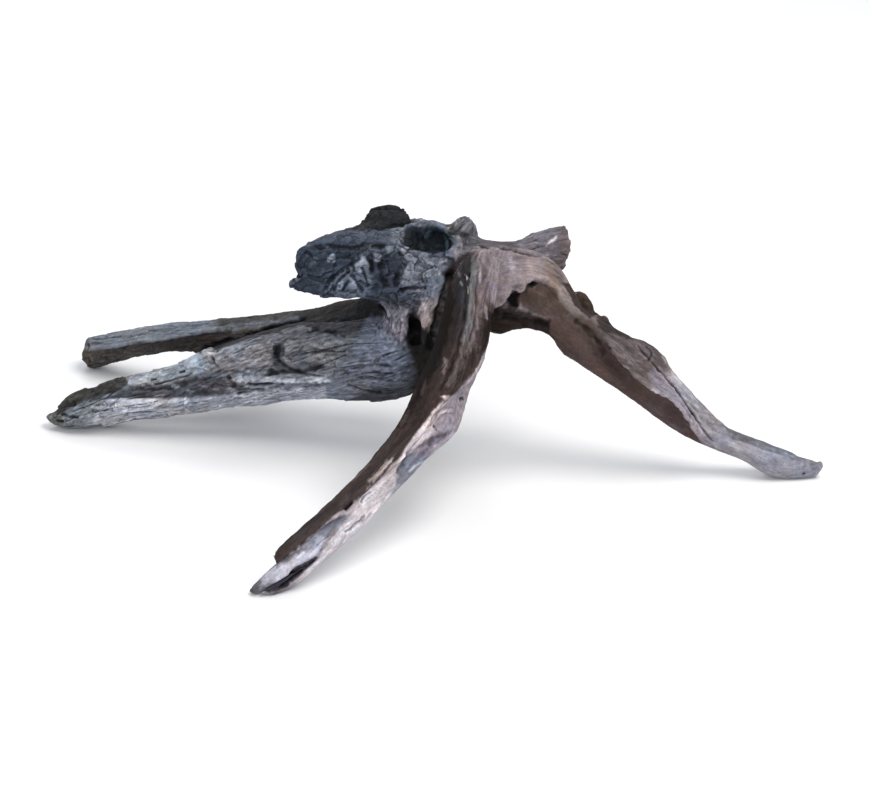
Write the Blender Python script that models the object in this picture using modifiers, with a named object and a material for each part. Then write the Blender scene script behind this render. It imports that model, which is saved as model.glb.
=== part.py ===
# Sinker wood: one weathered root that stands on four worn feet, split into pieces at its main forks
import math

import bmesh
import bpy
from mathutils import Matrix, Vector, noise

MM = 0.001

# Driving dimensions, in millimetres
LENGTH_ALL = 402.0  # from the left root's tip to the right leg's tip
SKIN_VOXEL = 1.5  # grain of the skin that joins the limbs
SKIN_SMOOTHING = 2  # passes that round the joins between limbs
SKIN_SWELL = 0.1  # makes up for what the smoothing takes off
MOST_TRIANGLES = 7900
FORK_GAP = 0.3  # clear width of each cut between two pieces
RING_POINTS = 48
RING_STEP = 2.5  # distance between two rings of a limb
FLUTE_DEPTH = 1.3  # natural waviness of the wood across its grain
FLUTE_LENGTH = 50.0  # how far a wave runs along the grain
MIDDLE = (0.0, 1.5, 0.0)  # middle of the paths' box; the finished wood stands with it over the origin

# The good side of the wood faces front and a little up; every limb's section is laid out from it
FRONT = Vector((0.0, -0.906, 0.423))
UPPER_LEFT = Vector((-0.30, 0.38, 0.82))

# Each limb's path: x, y, z, half height as seen from the front, half depth.
# Its ridges and furrows: stations of (place on the path, angle, rise, spread). Angle 0 faces the front, 90 the
# upper or left side and 180 the back. A furrow has a negative rise.
LIMBS = {
    "front leg": {
        "path": [
            (28, 4, 113, 9, 11), (25, -6, 107, 10.6, 12), (21.5, -14, 96, 11, 12), (18.5, -22, 83, 12, 12),
            (14, -31, 71, 12.4, 12), (7.5, -42, 60, 12.6, 12), (1, -55, 49, 13.4, 12),
            (-13, -74, 42.5, 11.4, 11),
            (-25, -88.5, 35.5, 10.4, 10), (-38, -101, 28, 10.2, 9), (-50.5, -111, 20.5, 10.2, 8),
            (-64, -120, 12, 9.6, 7), (-82, -128, 3.2, 7.4, 5),
        ],
        "ridges": [
            [(0, -95, 1.0, 36), (3, -85, 2.0, 32), (4, -61, 2.6, 28), (4.8, -22, 3.0, 28), (6, 10, 3.4, 30),
             (7, 4, 3.0, 32), (9, 9, 2.8, 32), (10, 23, 2.6, 32), (11.5, 56, 2.0, 32)],
            [(3, -30, -1.0, 30), (5, -60, -1.8, 30), (6, -36, -2.4, 30), (8, -44, -1.8, 30),
             (10, -20, -0.6, 28)],
            [(0, 10, 2.0, 26), (2, 8, 2.4, 24), (4, 20, 1.8, 26), (5, 44, 0.6, 26)],
            [(0, 100, 2.0, 36), (4, 90, 2.4, 34), (8, 95, 2.2, 34), (12, 100, 1.2, 36)],
            [(0, 50, -2.6, 34), (4, 56, -3.4, 34), (7, 52, -3.6, 38), (9, 54, -3.2, 34), (11, 76, -1.4, 26)],
            [(0, 190, 2.0, 44), (6, 215, 2.6, 44), (12, 235, 1.4, 40)],
        ],
    },
    "right leg": {
        "path": [
            (58, 4, 90, 12, 13), (72, 2, 77, 11.6, 13), (89, 1, 66, 11.8, 13), (107, 0, 55, 13.2, 13),
            (124, -1, 41.5, 11.8, 11), (138, -2, 29.5, 9.2, 9), (150, -3, 22, 7, 7),
            (164, -4, 15.5, 6.7, 7),
            (177, -5, 8.5, 7.6, 7), (190, -5, 5, 5.6, 6), (202, -5, 5, 2.6, 4),
        ],
        "ridges": [
            [(0, 60, 1.0, 32), (1, 52, 2.6, 26), (2, 16, 4.2, 24), (3, -16, 4.8, 22), (4, -6, 4.6, 22),
             (5, -30, 3.4, 22), (6, -84, 1.4, 30)],
            [(1, 14, -3.0, 34), (2, -22, -4.4, 32), (3, -50, -4.6, 28), (4, -42, -4.0, 28),
             (5, -64, -2.0, 24)],
            [(2, 56, -1.6, 20), (3, 30, -2.2, 18), (4, 24, -1.8, 18), (5, 0, -1.2, 18)],
            [(2, 84, 1.0, 26), (2.8, 92, 2.6, 40), (3.5, 92, 4.6, 40), (4.2, 88, 2.6, 34), (5, 62, 1.6, 30),
             (8, 55, 1.6, 36), (10, 50, 0.4, 36)],
            [(0, -90, 1.6, 26), (3, -92, 2.4, 24), (5, -96, 1.2, 24)],
            [(0, 200, 1.6, 50), (4, 225, 2.4, 40), (8, 240, 1.0, 40)],
        ],
    },
    "left root": {
        "path": [
            (20, 29, 66, 8, 9), (12, 31, 61, 17, 18), (-2, 35, 56, 22.6, 24), (-17, 38, 51, 24, 25),
            (-35, 40, 49, 23.6, 25), (-56, 44, 45, 20.2, 23), (-77, 47, 40, 18.4, 21),
            (-98, 49, 34, 17, 18),
            (-117, 50, 27.5, 14.2, 15), (-140, 51, 21, 12.2, 13), (-162, 52, 16, 10.6, 12),
            (-181, 53, 9.6, 9.8, 10),
            (-193, 53, 6.2, 6.2, 6), (-202, 53, 6.2, 2, 3),
        ],
        "ridges": [
            [(3, 8, -1.4, 24), (5, -12, -3.2, 22), (7, -8, -3.0, 20), (9, 10, -2.4, 20), (11, 6, -1.8, 24)],
            [(3, -30, 1.4, 28), (5, -42, 2.8, 26), (8, -38, 2.6, 26), (11, -30, 2.4, 28), (12, -30, 1.0, 30)],
            [(4, 34, 1.6, 28), (6, 30, 2.4, 26), (8, 46, 2.2, 24), (10, 58, 2.2, 24), (12, 62, 0.8, 26)],
            [(4, 74, -2.2, 30), (7, 88, -2.4, 28), (10, 22, -1.4, 22), (12, 20, -0.6, 22)],
            [(3, 170, 2.4, 50), (7, 200, 3.0, 44), (11, 215, 1.6, 40)],
            [(2, 250, 2.0, 40), (6, 265, 1.8, 36), (9, 250, 1.6, 36)],
        ],
    },
    "rear prong": {
        "path": [
            (-14, 46, 64, 10, 13), (-35, 56, 61, 10, 11), (-56, 67, 53, 8.4, 9), (-78, 78, 46, 7.2, 8),
            (-100, 90, 38.5, 7, 8), (-123, 101, 31, 7.8, 8), (-151, 112.5, 23, 7.4, 8),
            (-175, 123.5, 13, 7.6, 8), (-191, 130, 7.2, 7.6, 7),
        ],
        "ridges": [
            [(2, 30, 1.4, 34), (4, 12, 2.4, 28), (6, 8, 2.6, 26), (8, 6, 2.2, 26)],
            [(2, 84, 1.2, 34), (5, 86, 2.0, 30), (8, 80, 1.8, 30)],
            [(3, 48, -1.2, 30), (6, 46, -1.6, 28), (8, 44, -1.2, 28)],
            [(3, -40, -1.4, 34), (6, -40, -2.0, 30), (8, -36, -1.4, 30)],
            [(2, 190, 1.8, 44), (8, 200, 1.6, 44)],
            [(5, -90, 0.2, 44), (8, -94, 1.6, 44)],
        ],
    },
    "charred stub": {
        "path": [
            (6, 28, 98, 19, 18), (-14, 25, 103.5, 18.6, 15), (-29, 22, 107, 18.4, 14),
            (-44, 20, 106.5, 16.8, 13),
            (-56, 18, 105, 13.4, 12), (-69.5, 17, 103.4, 10.4, 10),
        ],
        "ridges": [
            [(0, 30, 1.5, 26), (2, 28, 4.2, 24), (3, 38, 4.4, 24), (4, 54, 3.8, 24), (5, 66, 2.6, 26)],
            [(2, 64, -2.0, 26), (4, 94, -1.6, 24)],
            [(1, -58, 1.5, 30), (3, -58, 3.2, 28), (5, -56, 2.4, 30)],
            [(1, -12, -1.4, 34), (3, -8, -1.8, 34), (5, 0, -1.8, 30)],
            [(0, 130, 1.5, 36), (5, 135, 3.0, 34)],
            [(0, 235, 1.5, 36), (5, 228, 2.6, 34)],
        ],
    },
    "arch": {
        "path": [
            (22, 6, 99, 16, 14), (36, 5, 98, 20, 16), (50, 5, 97, 18.4, 16), (61, 4, 89, 15, 15),
            (72, 3, 77, 10, 10),
            (82, 3, 68, 6, 6),
        ],
        "ridges": [
            [(0, 74, 2.4, 28), (2, 74, 2.6, 26), (3, 64, 1.0, 28)],
            [(0, 2, 2.0, 26), (1, 4, 2.6, 24), (2, 22, 3.0, 24), (3, 34, 2.6, 24)],
            [(0, -34, -2.6, 34), (1, -36, -4.0, 34), (2, -20, -4.0, 36), (3, -10, -3.0, 36)],
            [(0, -84, 1.6, 26), (2, -80, 2.2, 26), (3, -70, 2.0, 26)],
        ],
    },
    "neck": {
        "path": [
            (12, 31, 118, 9, 12), (7, 28, 112, 15, 17), (2, 26, 98, 16, 18), (-5, 29, 78, 15.4, 18),
            (-9, 33, 60, 13, 17),
            (-10, 35, 48, 9, 12),
        ],
        "ridges": [
            [(1, 60, 1.8, 28), (3, 50, 2.6, 26), (4, 40, 1.4, 26)],
            [(1, 10, -1.5, 26), (3, 0, -2.8, 24), (4, -6, -2.0, 26)],
            [(1, -35, 1.8, 26), (3, -38, 2.8, 24), (4, -40, 1.4, 28)],
        ],
    },
    "top spur": {
        "path": [
            (24, 30, 107, 8, 12), (38, 34, 104, 7.6, 11), (48, 38, 103.5, 6.8, 9.5), (60, 41, 105, 9, 8.5),
            (76, 42.5, 107, 10.4, 8),
        ],
        "ridges": [
            [(0, 80, 1.0, 36), (4, 84, 3.0, 32)],
            [(1, 10, -1.0, 40), (4, 2, -2.4, 34)],
            [(2, -70, 1.4, 34), (4, -66, 3.0, 30)],
        ],
    },
    "heart": {
        "path": [
            (8, 27, 86, 16, 17), (24, 24, 96, 18, 18), (38, 22, 97, 16, 15), (52, 12, 93, 13, 9.5),
            (66, 10, 88, 8, 8),
        ],
        "ridges": [[(0, 180, 2.4, 50), (4, 190, 2.0, 50)], [(0, 130, 1.8, 40), (3, 120, 1.8, 40)]],
    },
    "back rib": {
        "path": [
            (64, 14, 90, 6, 7), (71, 14, 85, 6.6, 7), (80, 13, 78.5, 6, 8), (89, 12, 71.5, 5.6, 8),
            (102, 8, 60, 7, 8),
        ],
        "ridges": [[(0, 90, 0.8, 40), (4, 90, 0.8, 40)]],
    },
    "stub web": {
        "path": [(-4, 34, 92, 9, 12), (-14, 36, 84, 9, 11), (-24, 42, 74, 9, 10), (-36, 50, 64, 8, 9)],
        "ridges": [[(0, 20, 1.4, 30), (3, 20, 1.4, 30)]],
    },
}

# Lumps grown on the crown: x, y, z and half sizes along x, y, z
LUMPS = {
    "burnt knob": (-21, 39, 122, 12.4, 10, 8.5),
    "burnt knob shoulder": (-27, 36, 117, 12, 9, 7),
    "grey knob": (18, 31, 119.5, 7.2, 7, 8.4),
    "hollow rim": (1, 29, 117.5, 14, 9, 8),
    "rim bump": (-5, 30, 122, 5, 5, 4),
    "rib knob high": (77, 16, 85, 6.6, 6.5, 6),
    "rib knob low": (88, 13, 75, 5, 6, 4.6),
    "arch shoulder": (60, 12, 97, 6, 8, 9),
    "heel burr": (42, 2, 82, 8, 8, 5),
}

# Hollows and broken ends: place, half sizes, then turns about x, y and z in degrees. A turn of -25 about x
# lines a cut up with an eye that looks down on the front
HOLLOWS = {
    "burnt hollow": ((1, 14, 122), (12, 6.5, 5.6), (20, 0, 0)),
    "crown cavity": ((-6, 14, 71.5), (4.2, 9, 8), (0, 14, 0)),
    "crown cleft": ((10.5, 5, 84), (4.2, 11, 21), (0, 12, 0)),
    "root pit": ((-104, 31, 37), (6.5, 5.5, 4), (0, -15, 0)),
    "root knot": ((-76, 27, 54), (5.5, 6, 4), (0, 20, 0)),
    "arch pit": ((44, -11, 104), (2.6, 4, 5.4), (20, 14, 0)),
    "arch pit high": ((54, -11, 105), (3.8, 4, 2.6), (20, 0, 0)),
}
NOTCHES = {
    "stub mouth": ((-68, 14, 104), (6.5, 20, 1.6), (-25, 20, 0)),
    "stub end": ((-73, 17, 114), (8, 20, 9), (-25, 6, 0)),
    "stub step": ((-67.4, 19.5, 122), (9, 20, 8), (-25, -42, 0)),
    "leg end slit": ((-66, -132, 12.4), (18, 9, 1.4), (-25, -31, 0)),
    "leg end step": ((-86, -118, 7.8), (12, 20, 9), (-25, -46, 0)),
    "leg end trim": ((-78.2, -133.2, -7.8), (16, 30, 10), (-25, 14, 0)),
    "leg tip trim": ((207, -5, 1), (8, 8, 3.2), (0, 38, 0)),
    "prong end cut": ((-199.5, 131, 14), (7.5, 16, 16), (0, 10, 16)),
    "spur end cut": ((80.5, 42, 110), (8, 15, 22), (0, -2, 0)),
    "spur end corner": ((76.5, 40, 92.2), (8, 12, 16), (-25, 20, 0)),
}

# Forks: middle of the cut, its normal and its radius
FORKS = {
    "front leg": ((19.5, -18, 89.5), (0.25, 0.52, 0.82), 22),
    "right leg": ((82, 5, 70.5), (-0.86, 0.05, 0.50), 29),
    "left root": ((-37, 46, 51), (0.98, -0.14, 0.12), 34),
    "long prong": ((-118, 50, 27), (0.96, 0.0, 0.28), 24),
    "rear prong": ((-101, 90.5, 39.5), (0.86, -0.43, 0.27), 15),
    "charred stub": ((-16, 28, 104.5), (0.894, 0.05, -0.447), 27),
    "top spur": ((52, 40, 104.5), (-0.98, -0.14, -0.10), 15),
}

# Pieces: a point well inside each, and its finish
PIECES = {
    "crown": ((24, 20, 98), "brown wood"),
    "front_leg": ((-14, -74, 43), "brown wood"),
    "right_leg": ((107, 0, 55), "brown wood"),
    "left_trunk": ((-77, 47, 39), "grey wood"),
    "long_prong": ((-140, 51, 20), "grey wood"),
    "rear_prong": ((-151, 112, 24), "grey wood"),
    "charred_stub": ((-40, 21, 106), "charred wood"),
    "top_spur": ((62, 37, 108), "brown wood"),
}

# Finishes: colour, roughness
FINISHES = {
    "brown wood": ((0.20, 0.155, 0.14, 1.0), 0.85),
    "grey wood": ((0.19, 0.19, 0.20, 1.0), 0.85),
    "charred wood": ((0.045, 0.052, 0.065, 1.0), 0.70),
}


def clear_scene():
    for obj in list(bpy.data.objects):
        bpy.data.objects.remove(obj)


def new_collection(name):
    collection = bpy.data.collections.new(name)
    bpy.context.scene.collection.children.link(collection)
    return collection


def new_object(name, bm, collection):
    mesh = bpy.data.meshes.new(name)
    bm.to_mesh(mesh)
    bm.free()
    obj = bpy.data.objects.new(name, mesh)
    collection.objects.link(obj)
    return obj


def smooth_value(rows, place):
    # Catmull-Rom through the rows, which are tuples of numbers
    last = len(rows) - 1
    i = min(int(place), last - 1)
    t = place - i
    a, b, c, d = (rows[min(max(k, 0), last)] for k in (i - 1, i, i + 1, i + 2))
    return [
        0.5 * ((2 * q) + (r - p) * t + (2 * p - 5 * q + 4 * r - s) * t**2 + (3 * q - p - 3 * r + s) * t**3)
        for p, q, r, s in zip(a, b, c, d)
    ]


def ridge_at(stations, place):
    # Angle, rise and spread of a ridge at a place on the path; it fades out past its ends
    if place <= stations[0][0]:
        first = stations[0]
        fade = max(0.0, 1 - (first[0] - place))
        return first[1], first[2] * fade, first[3]
    for here, after in zip(stations, stations[1:]):
        if place <= after[0]:
            t = (place - here[0]) / (after[0] - here[0])
            t = t * t * (3 - 2 * t)
            return tuple(p + (q - p) * t for p, q in zip(here[1:], after[1:]))
    last = stations[-1]
    return last[1], last[2] * max(0.0, 1 - (place - last[0])), last[3]


def crest(angle, middle, spread):
    # 1 on a ridge's line, falling to 0 at its spread, with a rather sharp top
    away = abs((angle - middle + 180) % 360 - 180)
    return max(0.0, 1 - away / spread) ** 1.4


def limb_rings(limb, seed):
    path, ridges = limb["path"], limb["ridges"]
    length = sum((Vector(q[:3]) - Vector(p[:3])).length for p, q in zip(path, path[1:]))
    count = max(4, round(length / RING_STEP))
    rings = []
    for n in range(count + 1):
        place = (len(path) - 1) * n / count
        x, y, z, high, deep = smooth_value(path, place)
        ahead = Vector(smooth_value(path, min(place + 0.1, len(path) - 1))[:3])
        behind = Vector(smooth_value(path, max(place - 0.1, 0))[:3])
        along = (ahead - behind).normalized()
        toward = (FRONT - along * FRONT.dot(along)).normalized()
        side = along.cross(toward)
        if side.dot(UPPER_LEFT) < 0:
            side.negate()
        middle = Vector((x, y, z))
        run = length * n / count
        ring = []
        for k in range(RING_POINTS):
            angle = 360 * k / RING_POINTS
            c, s = math.cos(math.radians(angle)), math.sin(math.radians(angle))
            rise = FLUTE_DEPTH * noise.noise(Vector((2.1 * c + seed, 2.1 * s, run / FLUTE_LENGTH)))
            for stations in ridges:
                line, height, spread = ridge_at(stations, place)
                rise += height * crest(angle, line, spread)
            share = 1 + rise / max(high, deep)
            ahead_part = toward * ((deep + SKIN_SWELL) * c * share)
            side_part = side * ((high + SKIN_SWELL) * s * share)
            ring.append(middle + ahead_part + side_part)
        rings.append(ring)
    return rings


def add_limb(bm, limb, seed):
    # A loft through unlike sections, closed at both ends
    loops = []
    for ring in limb_rings(limb, seed):
        verts = [bm.verts.new(p * MM) for p in ring]
        loops.append([bm.edges.new((verts[k], verts[(k + 1) % RING_POINTS])) for k in range(RING_POINTS)])
    for here, after in zip(loops, loops[1:]):
        bmesh.ops.bridge_loops(bm, edges=here + after)
    for ends in (loops[0], loops[-1]):
        bmesh.ops.contextual_create(bm, geom=ends)


def add_lump(bm, x, y, z, half_x, half_y, half_z):
    made = bmesh.ops.create_icosphere(bm, subdivisions=3, radius=MM)
    shape = Matrix.Translation(Vector((x, y, z)) * MM) @ Matrix.Diagonal((half_x, half_y, half_z, 1.0))
    bmesh.ops.transform(bm, matrix=shape, verts=made["verts"])


def add_modifier(obj, kind, **settings):
    modifier = obj.modifiers.new(kind.title(), kind)
    for key, value in settings.items():
        setattr(modifier, key, value)
    return modifier


def bake_modifiers(obj):
    # Puts the modifiers' result into the mesh
    bpy.context.view_layer.update()
    graph = bpy.context.evaluated_depsgraph_get()
    mesh = bpy.data.meshes.new_from_object(obj.evaluated_get(graph))
    obj.modifiers.clear()
    obj.data = mesh


def rooted_skin(collection, hollows):
    # One continuous skin over all the limbs and lumps, hollowed and then rounded
    bm = bmesh.new()
    for seed, limb in enumerate(LIMBS.values()):
        add_limb(bm, limb, 7.3 * seed)
    for lump in LUMPS.values():
        add_lump(bm, *lump)
    bmesh.ops.recalc_face_normals(bm, faces=bm.faces)
    skin = new_object("skin", bm, collection)
    add_modifier(skin, "REMESH", mode="VOXEL", voxel_size=SKIN_VOXEL * MM)
    bake_modifiers(skin)
    cut_away(skin, [hollows])
    add_modifier(skin, "REMESH", mode="VOXEL", voxel_size=SKIN_VOXEL * MM)
    add_modifier(skin, "SMOOTH", factor=0.5, iterations=SKIN_SMOOTHING)
    bake_modifiers(skin)
    keep_largest_body(skin)
    triangles = sum(len(p.vertices) - 2 for p in skin.data.polygons)
    add_modifier(skin, "DECIMATE", ratio=MOST_TRIANGLES / triangles, use_collapse_triangulate=True)
    bake_modifiers(skin)
    return skin


def bodies_of(bm):
    # Groups of vertices that hang together
    left = set(bm.verts)
    bodies = []
    while left:
        todo = [left.pop()]
        body = []
        while todo:
            vert = todo.pop()
            body.append(vert)
            for edge in vert.link_edges:
                other = edge.other_vert(vert)
                if other in left:
                    left.remove(other)
                    todo.append(other)
        bodies.append(body)
    return sorted(bodies, key=len, reverse=True)


def keep_largest_body(obj):
    bm = bmesh.new()
    bm.from_mesh(obj.data)
    for body in bodies_of(bm)[1:]:
        bmesh.ops.delete(bm, geom=body, context="VERTS")
    bm.to_mesh(obj.data)
    bm.free()


def turned(place, turns):
    matrix = Matrix.Translation(Vector(place) * MM)
    for axis, degrees in (("Z", turns[2]), ("X", turns[0]), ("Y", turns[1])):
        matrix = matrix @ Matrix.Rotation(math.radians(degrees), 4, axis)
    return matrix


def make_cutter(name, bm, collection):
    bmesh.ops.recalc_face_normals(bm, faces=bm.faces)
    cutter = new_object(name, bm, collection)
    cutter.hide_render = True
    cutter.display_type = "WIRE"
    return cutter


def hollows_cutter(collection):
    # All the hollows in one cutter; they lie apart from each other
    bm = bmesh.new()
    for place, halves, turns in HOLLOWS.values():
        made = bmesh.ops.create_icosphere(bm, subdivisions=3, radius=1.0)
        shape = turned(place, turns) @ Matrix.Diagonal(Vector(halves) * MM).to_4x4()
        bmesh.ops.transform(bm, matrix=shape, verts=made["verts"])
    return make_cutter("hollows", bm, collection)


def notch_cutter(name, place, halves, turns, collection):
    bm = bmesh.new()
    bmesh.ops.create_cube(bm, size=2.0)
    shape = turned(place, turns) @ Matrix.Diagonal(Vector(halves) * MM).to_4x4()
    bmesh.ops.transform(bm, matrix=shape, verts=bm.verts)
    return make_cutter(name, bm, collection)


def floor_cutter(collection):
    # Everything under the surface that the wood stands on is worn away
    half = LENGTH_ALL / 2
    return notch_cutter("floor", (0, 0, -half), (LENGTH_ALL, LENGTH_ALL, half), (0, 0, 0), collection)


def fork_cutter(name, middle, normal, radius, collection):
    bm = bmesh.new()
    bmesh.ops.create_cone(
        bm, cap_ends=True, segments=24, radius1=radius * MM, radius2=radius * MM, depth=FORK_GAP * MM
    )
    turn = Vector((0, 0, 1)).rotation_difference(Vector(normal)).to_matrix().to_4x4()
    bmesh.ops.transform(bm, matrix=Matrix.Translation(Vector(middle) * MM) @ turn, verts=bm.verts)
    return make_cutter(name, bm, collection)


def cut_away(obj, cutters):
    for cutter in cutters:
        add_modifier(obj, "BOOLEAN", operation="DIFFERENCE", solver="EXACT", object=cutter)
        bake_modifiers(obj)


def finish_material(name):
    colour, roughness = FINISHES[name]
    material = bpy.data.materials.new(name)
    material.use_nodes = True
    shader = material.node_tree.nodes["Principled BSDF"]
    shader.inputs["Base Color"].default_value = colour
    shader.inputs["Roughness"].default_value = roughness
    shader.inputs["Metallic"].default_value = 0.0
    material.diffuse_color = colour
    return material


def split_into_pieces(skin, collection):
    # Each body of the cut skin becomes the object whose inner point it surrounds most closely
    bm = bmesh.new()
    bm.from_mesh(skin.data)
    bodies = bodies_of(bm)
    print(len(bodies), "bodies of", [len(body) for body in bodies], "vertices")
    if len(bodies) != len(PIECES):
        raise ValueError("the forks do not part the wood into its pieces")
    materials = {name: finish_material(name) for name in FINISHES}
    for name, (inside, finish) in PIECES.items():
        seed = Vector(inside) * MM
        body = set(min(bodies, key=lambda verts: min((v.co - seed).length for v in verts)))
        piece = bm.copy()
        piece.verts.ensure_lookup_table()
        bm.verts.index_update()
        kept = {vert.index for vert in body}
        others = [vert for vert in piece.verts if vert.index not in kept]
        bmesh.ops.delete(piece, geom=others, context="VERTS")
        bmesh.ops.translate(piece, vec=Vector(MIDDLE) * -MM, verts=piece.verts)
        bmesh.ops.triangulate(piece, faces=piece.faces)
        obj = new_object(name, piece, collection)
        obj.data.materials.append(materials[finish])
        obj.data.shade_smooth()
        obj.data.set_sharp_from_angle(angle=math.radians(50))
    bm.free()
    bpy.data.objects.remove(skin)


def build():
    clear_scene()
    wood = new_collection("sinker wood")
    cutters = new_collection("cutters")
    skin = rooted_skin(wood, hollows_cutter(cutters))
    carving = [notch_cutter(name, *shape, cutters) for name, shape in NOTCHES.items()]
    carving.append(floor_cutter(cutters))
    cut_away(skin, carving)
    keep_largest_body(skin)
    cut_away(skin, [fork_cutter("fork of " + name, *shape, cutters) for name, shape in FORKS.items()])
    split_into_pieces(skin, wood)


build()
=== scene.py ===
import math

import bmesh
import bpy
import numpy as np
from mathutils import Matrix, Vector
from mathutils.bvhtree import BVHTree


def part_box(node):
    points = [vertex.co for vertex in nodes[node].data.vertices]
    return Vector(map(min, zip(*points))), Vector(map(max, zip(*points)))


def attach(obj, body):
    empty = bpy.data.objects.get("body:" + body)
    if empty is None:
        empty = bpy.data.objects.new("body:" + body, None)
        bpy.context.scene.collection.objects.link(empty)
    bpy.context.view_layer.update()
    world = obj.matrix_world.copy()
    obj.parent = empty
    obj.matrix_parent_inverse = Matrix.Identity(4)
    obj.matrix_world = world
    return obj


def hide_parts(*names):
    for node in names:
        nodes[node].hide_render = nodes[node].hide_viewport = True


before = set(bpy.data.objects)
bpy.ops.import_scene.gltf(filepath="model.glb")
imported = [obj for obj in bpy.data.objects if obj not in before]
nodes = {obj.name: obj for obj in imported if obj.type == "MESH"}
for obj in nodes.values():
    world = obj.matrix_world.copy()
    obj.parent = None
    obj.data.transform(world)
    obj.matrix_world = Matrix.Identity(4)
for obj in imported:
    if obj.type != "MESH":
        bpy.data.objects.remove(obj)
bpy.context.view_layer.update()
print("frame loaded:", ", ".join(sorted(nodes)))

# The viewer stands in front of the wood and looks down on it
viewPoint = {
    "elevation": 25.0,
    "distance": 1.35,
    "target": (0.004, -0.0175, 0.048),
    "lens": 112.0,
    "sensor": 36.0,
    "width": 870,
    "height": 800,
}

# The wood's skin, in mm
skin = {
    "voxel": 0.66,
    "swell": 0.28,
    "smoothing": 26,
    "middle": 1.5,  # the limbs below are laid out this much further back
}

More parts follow.
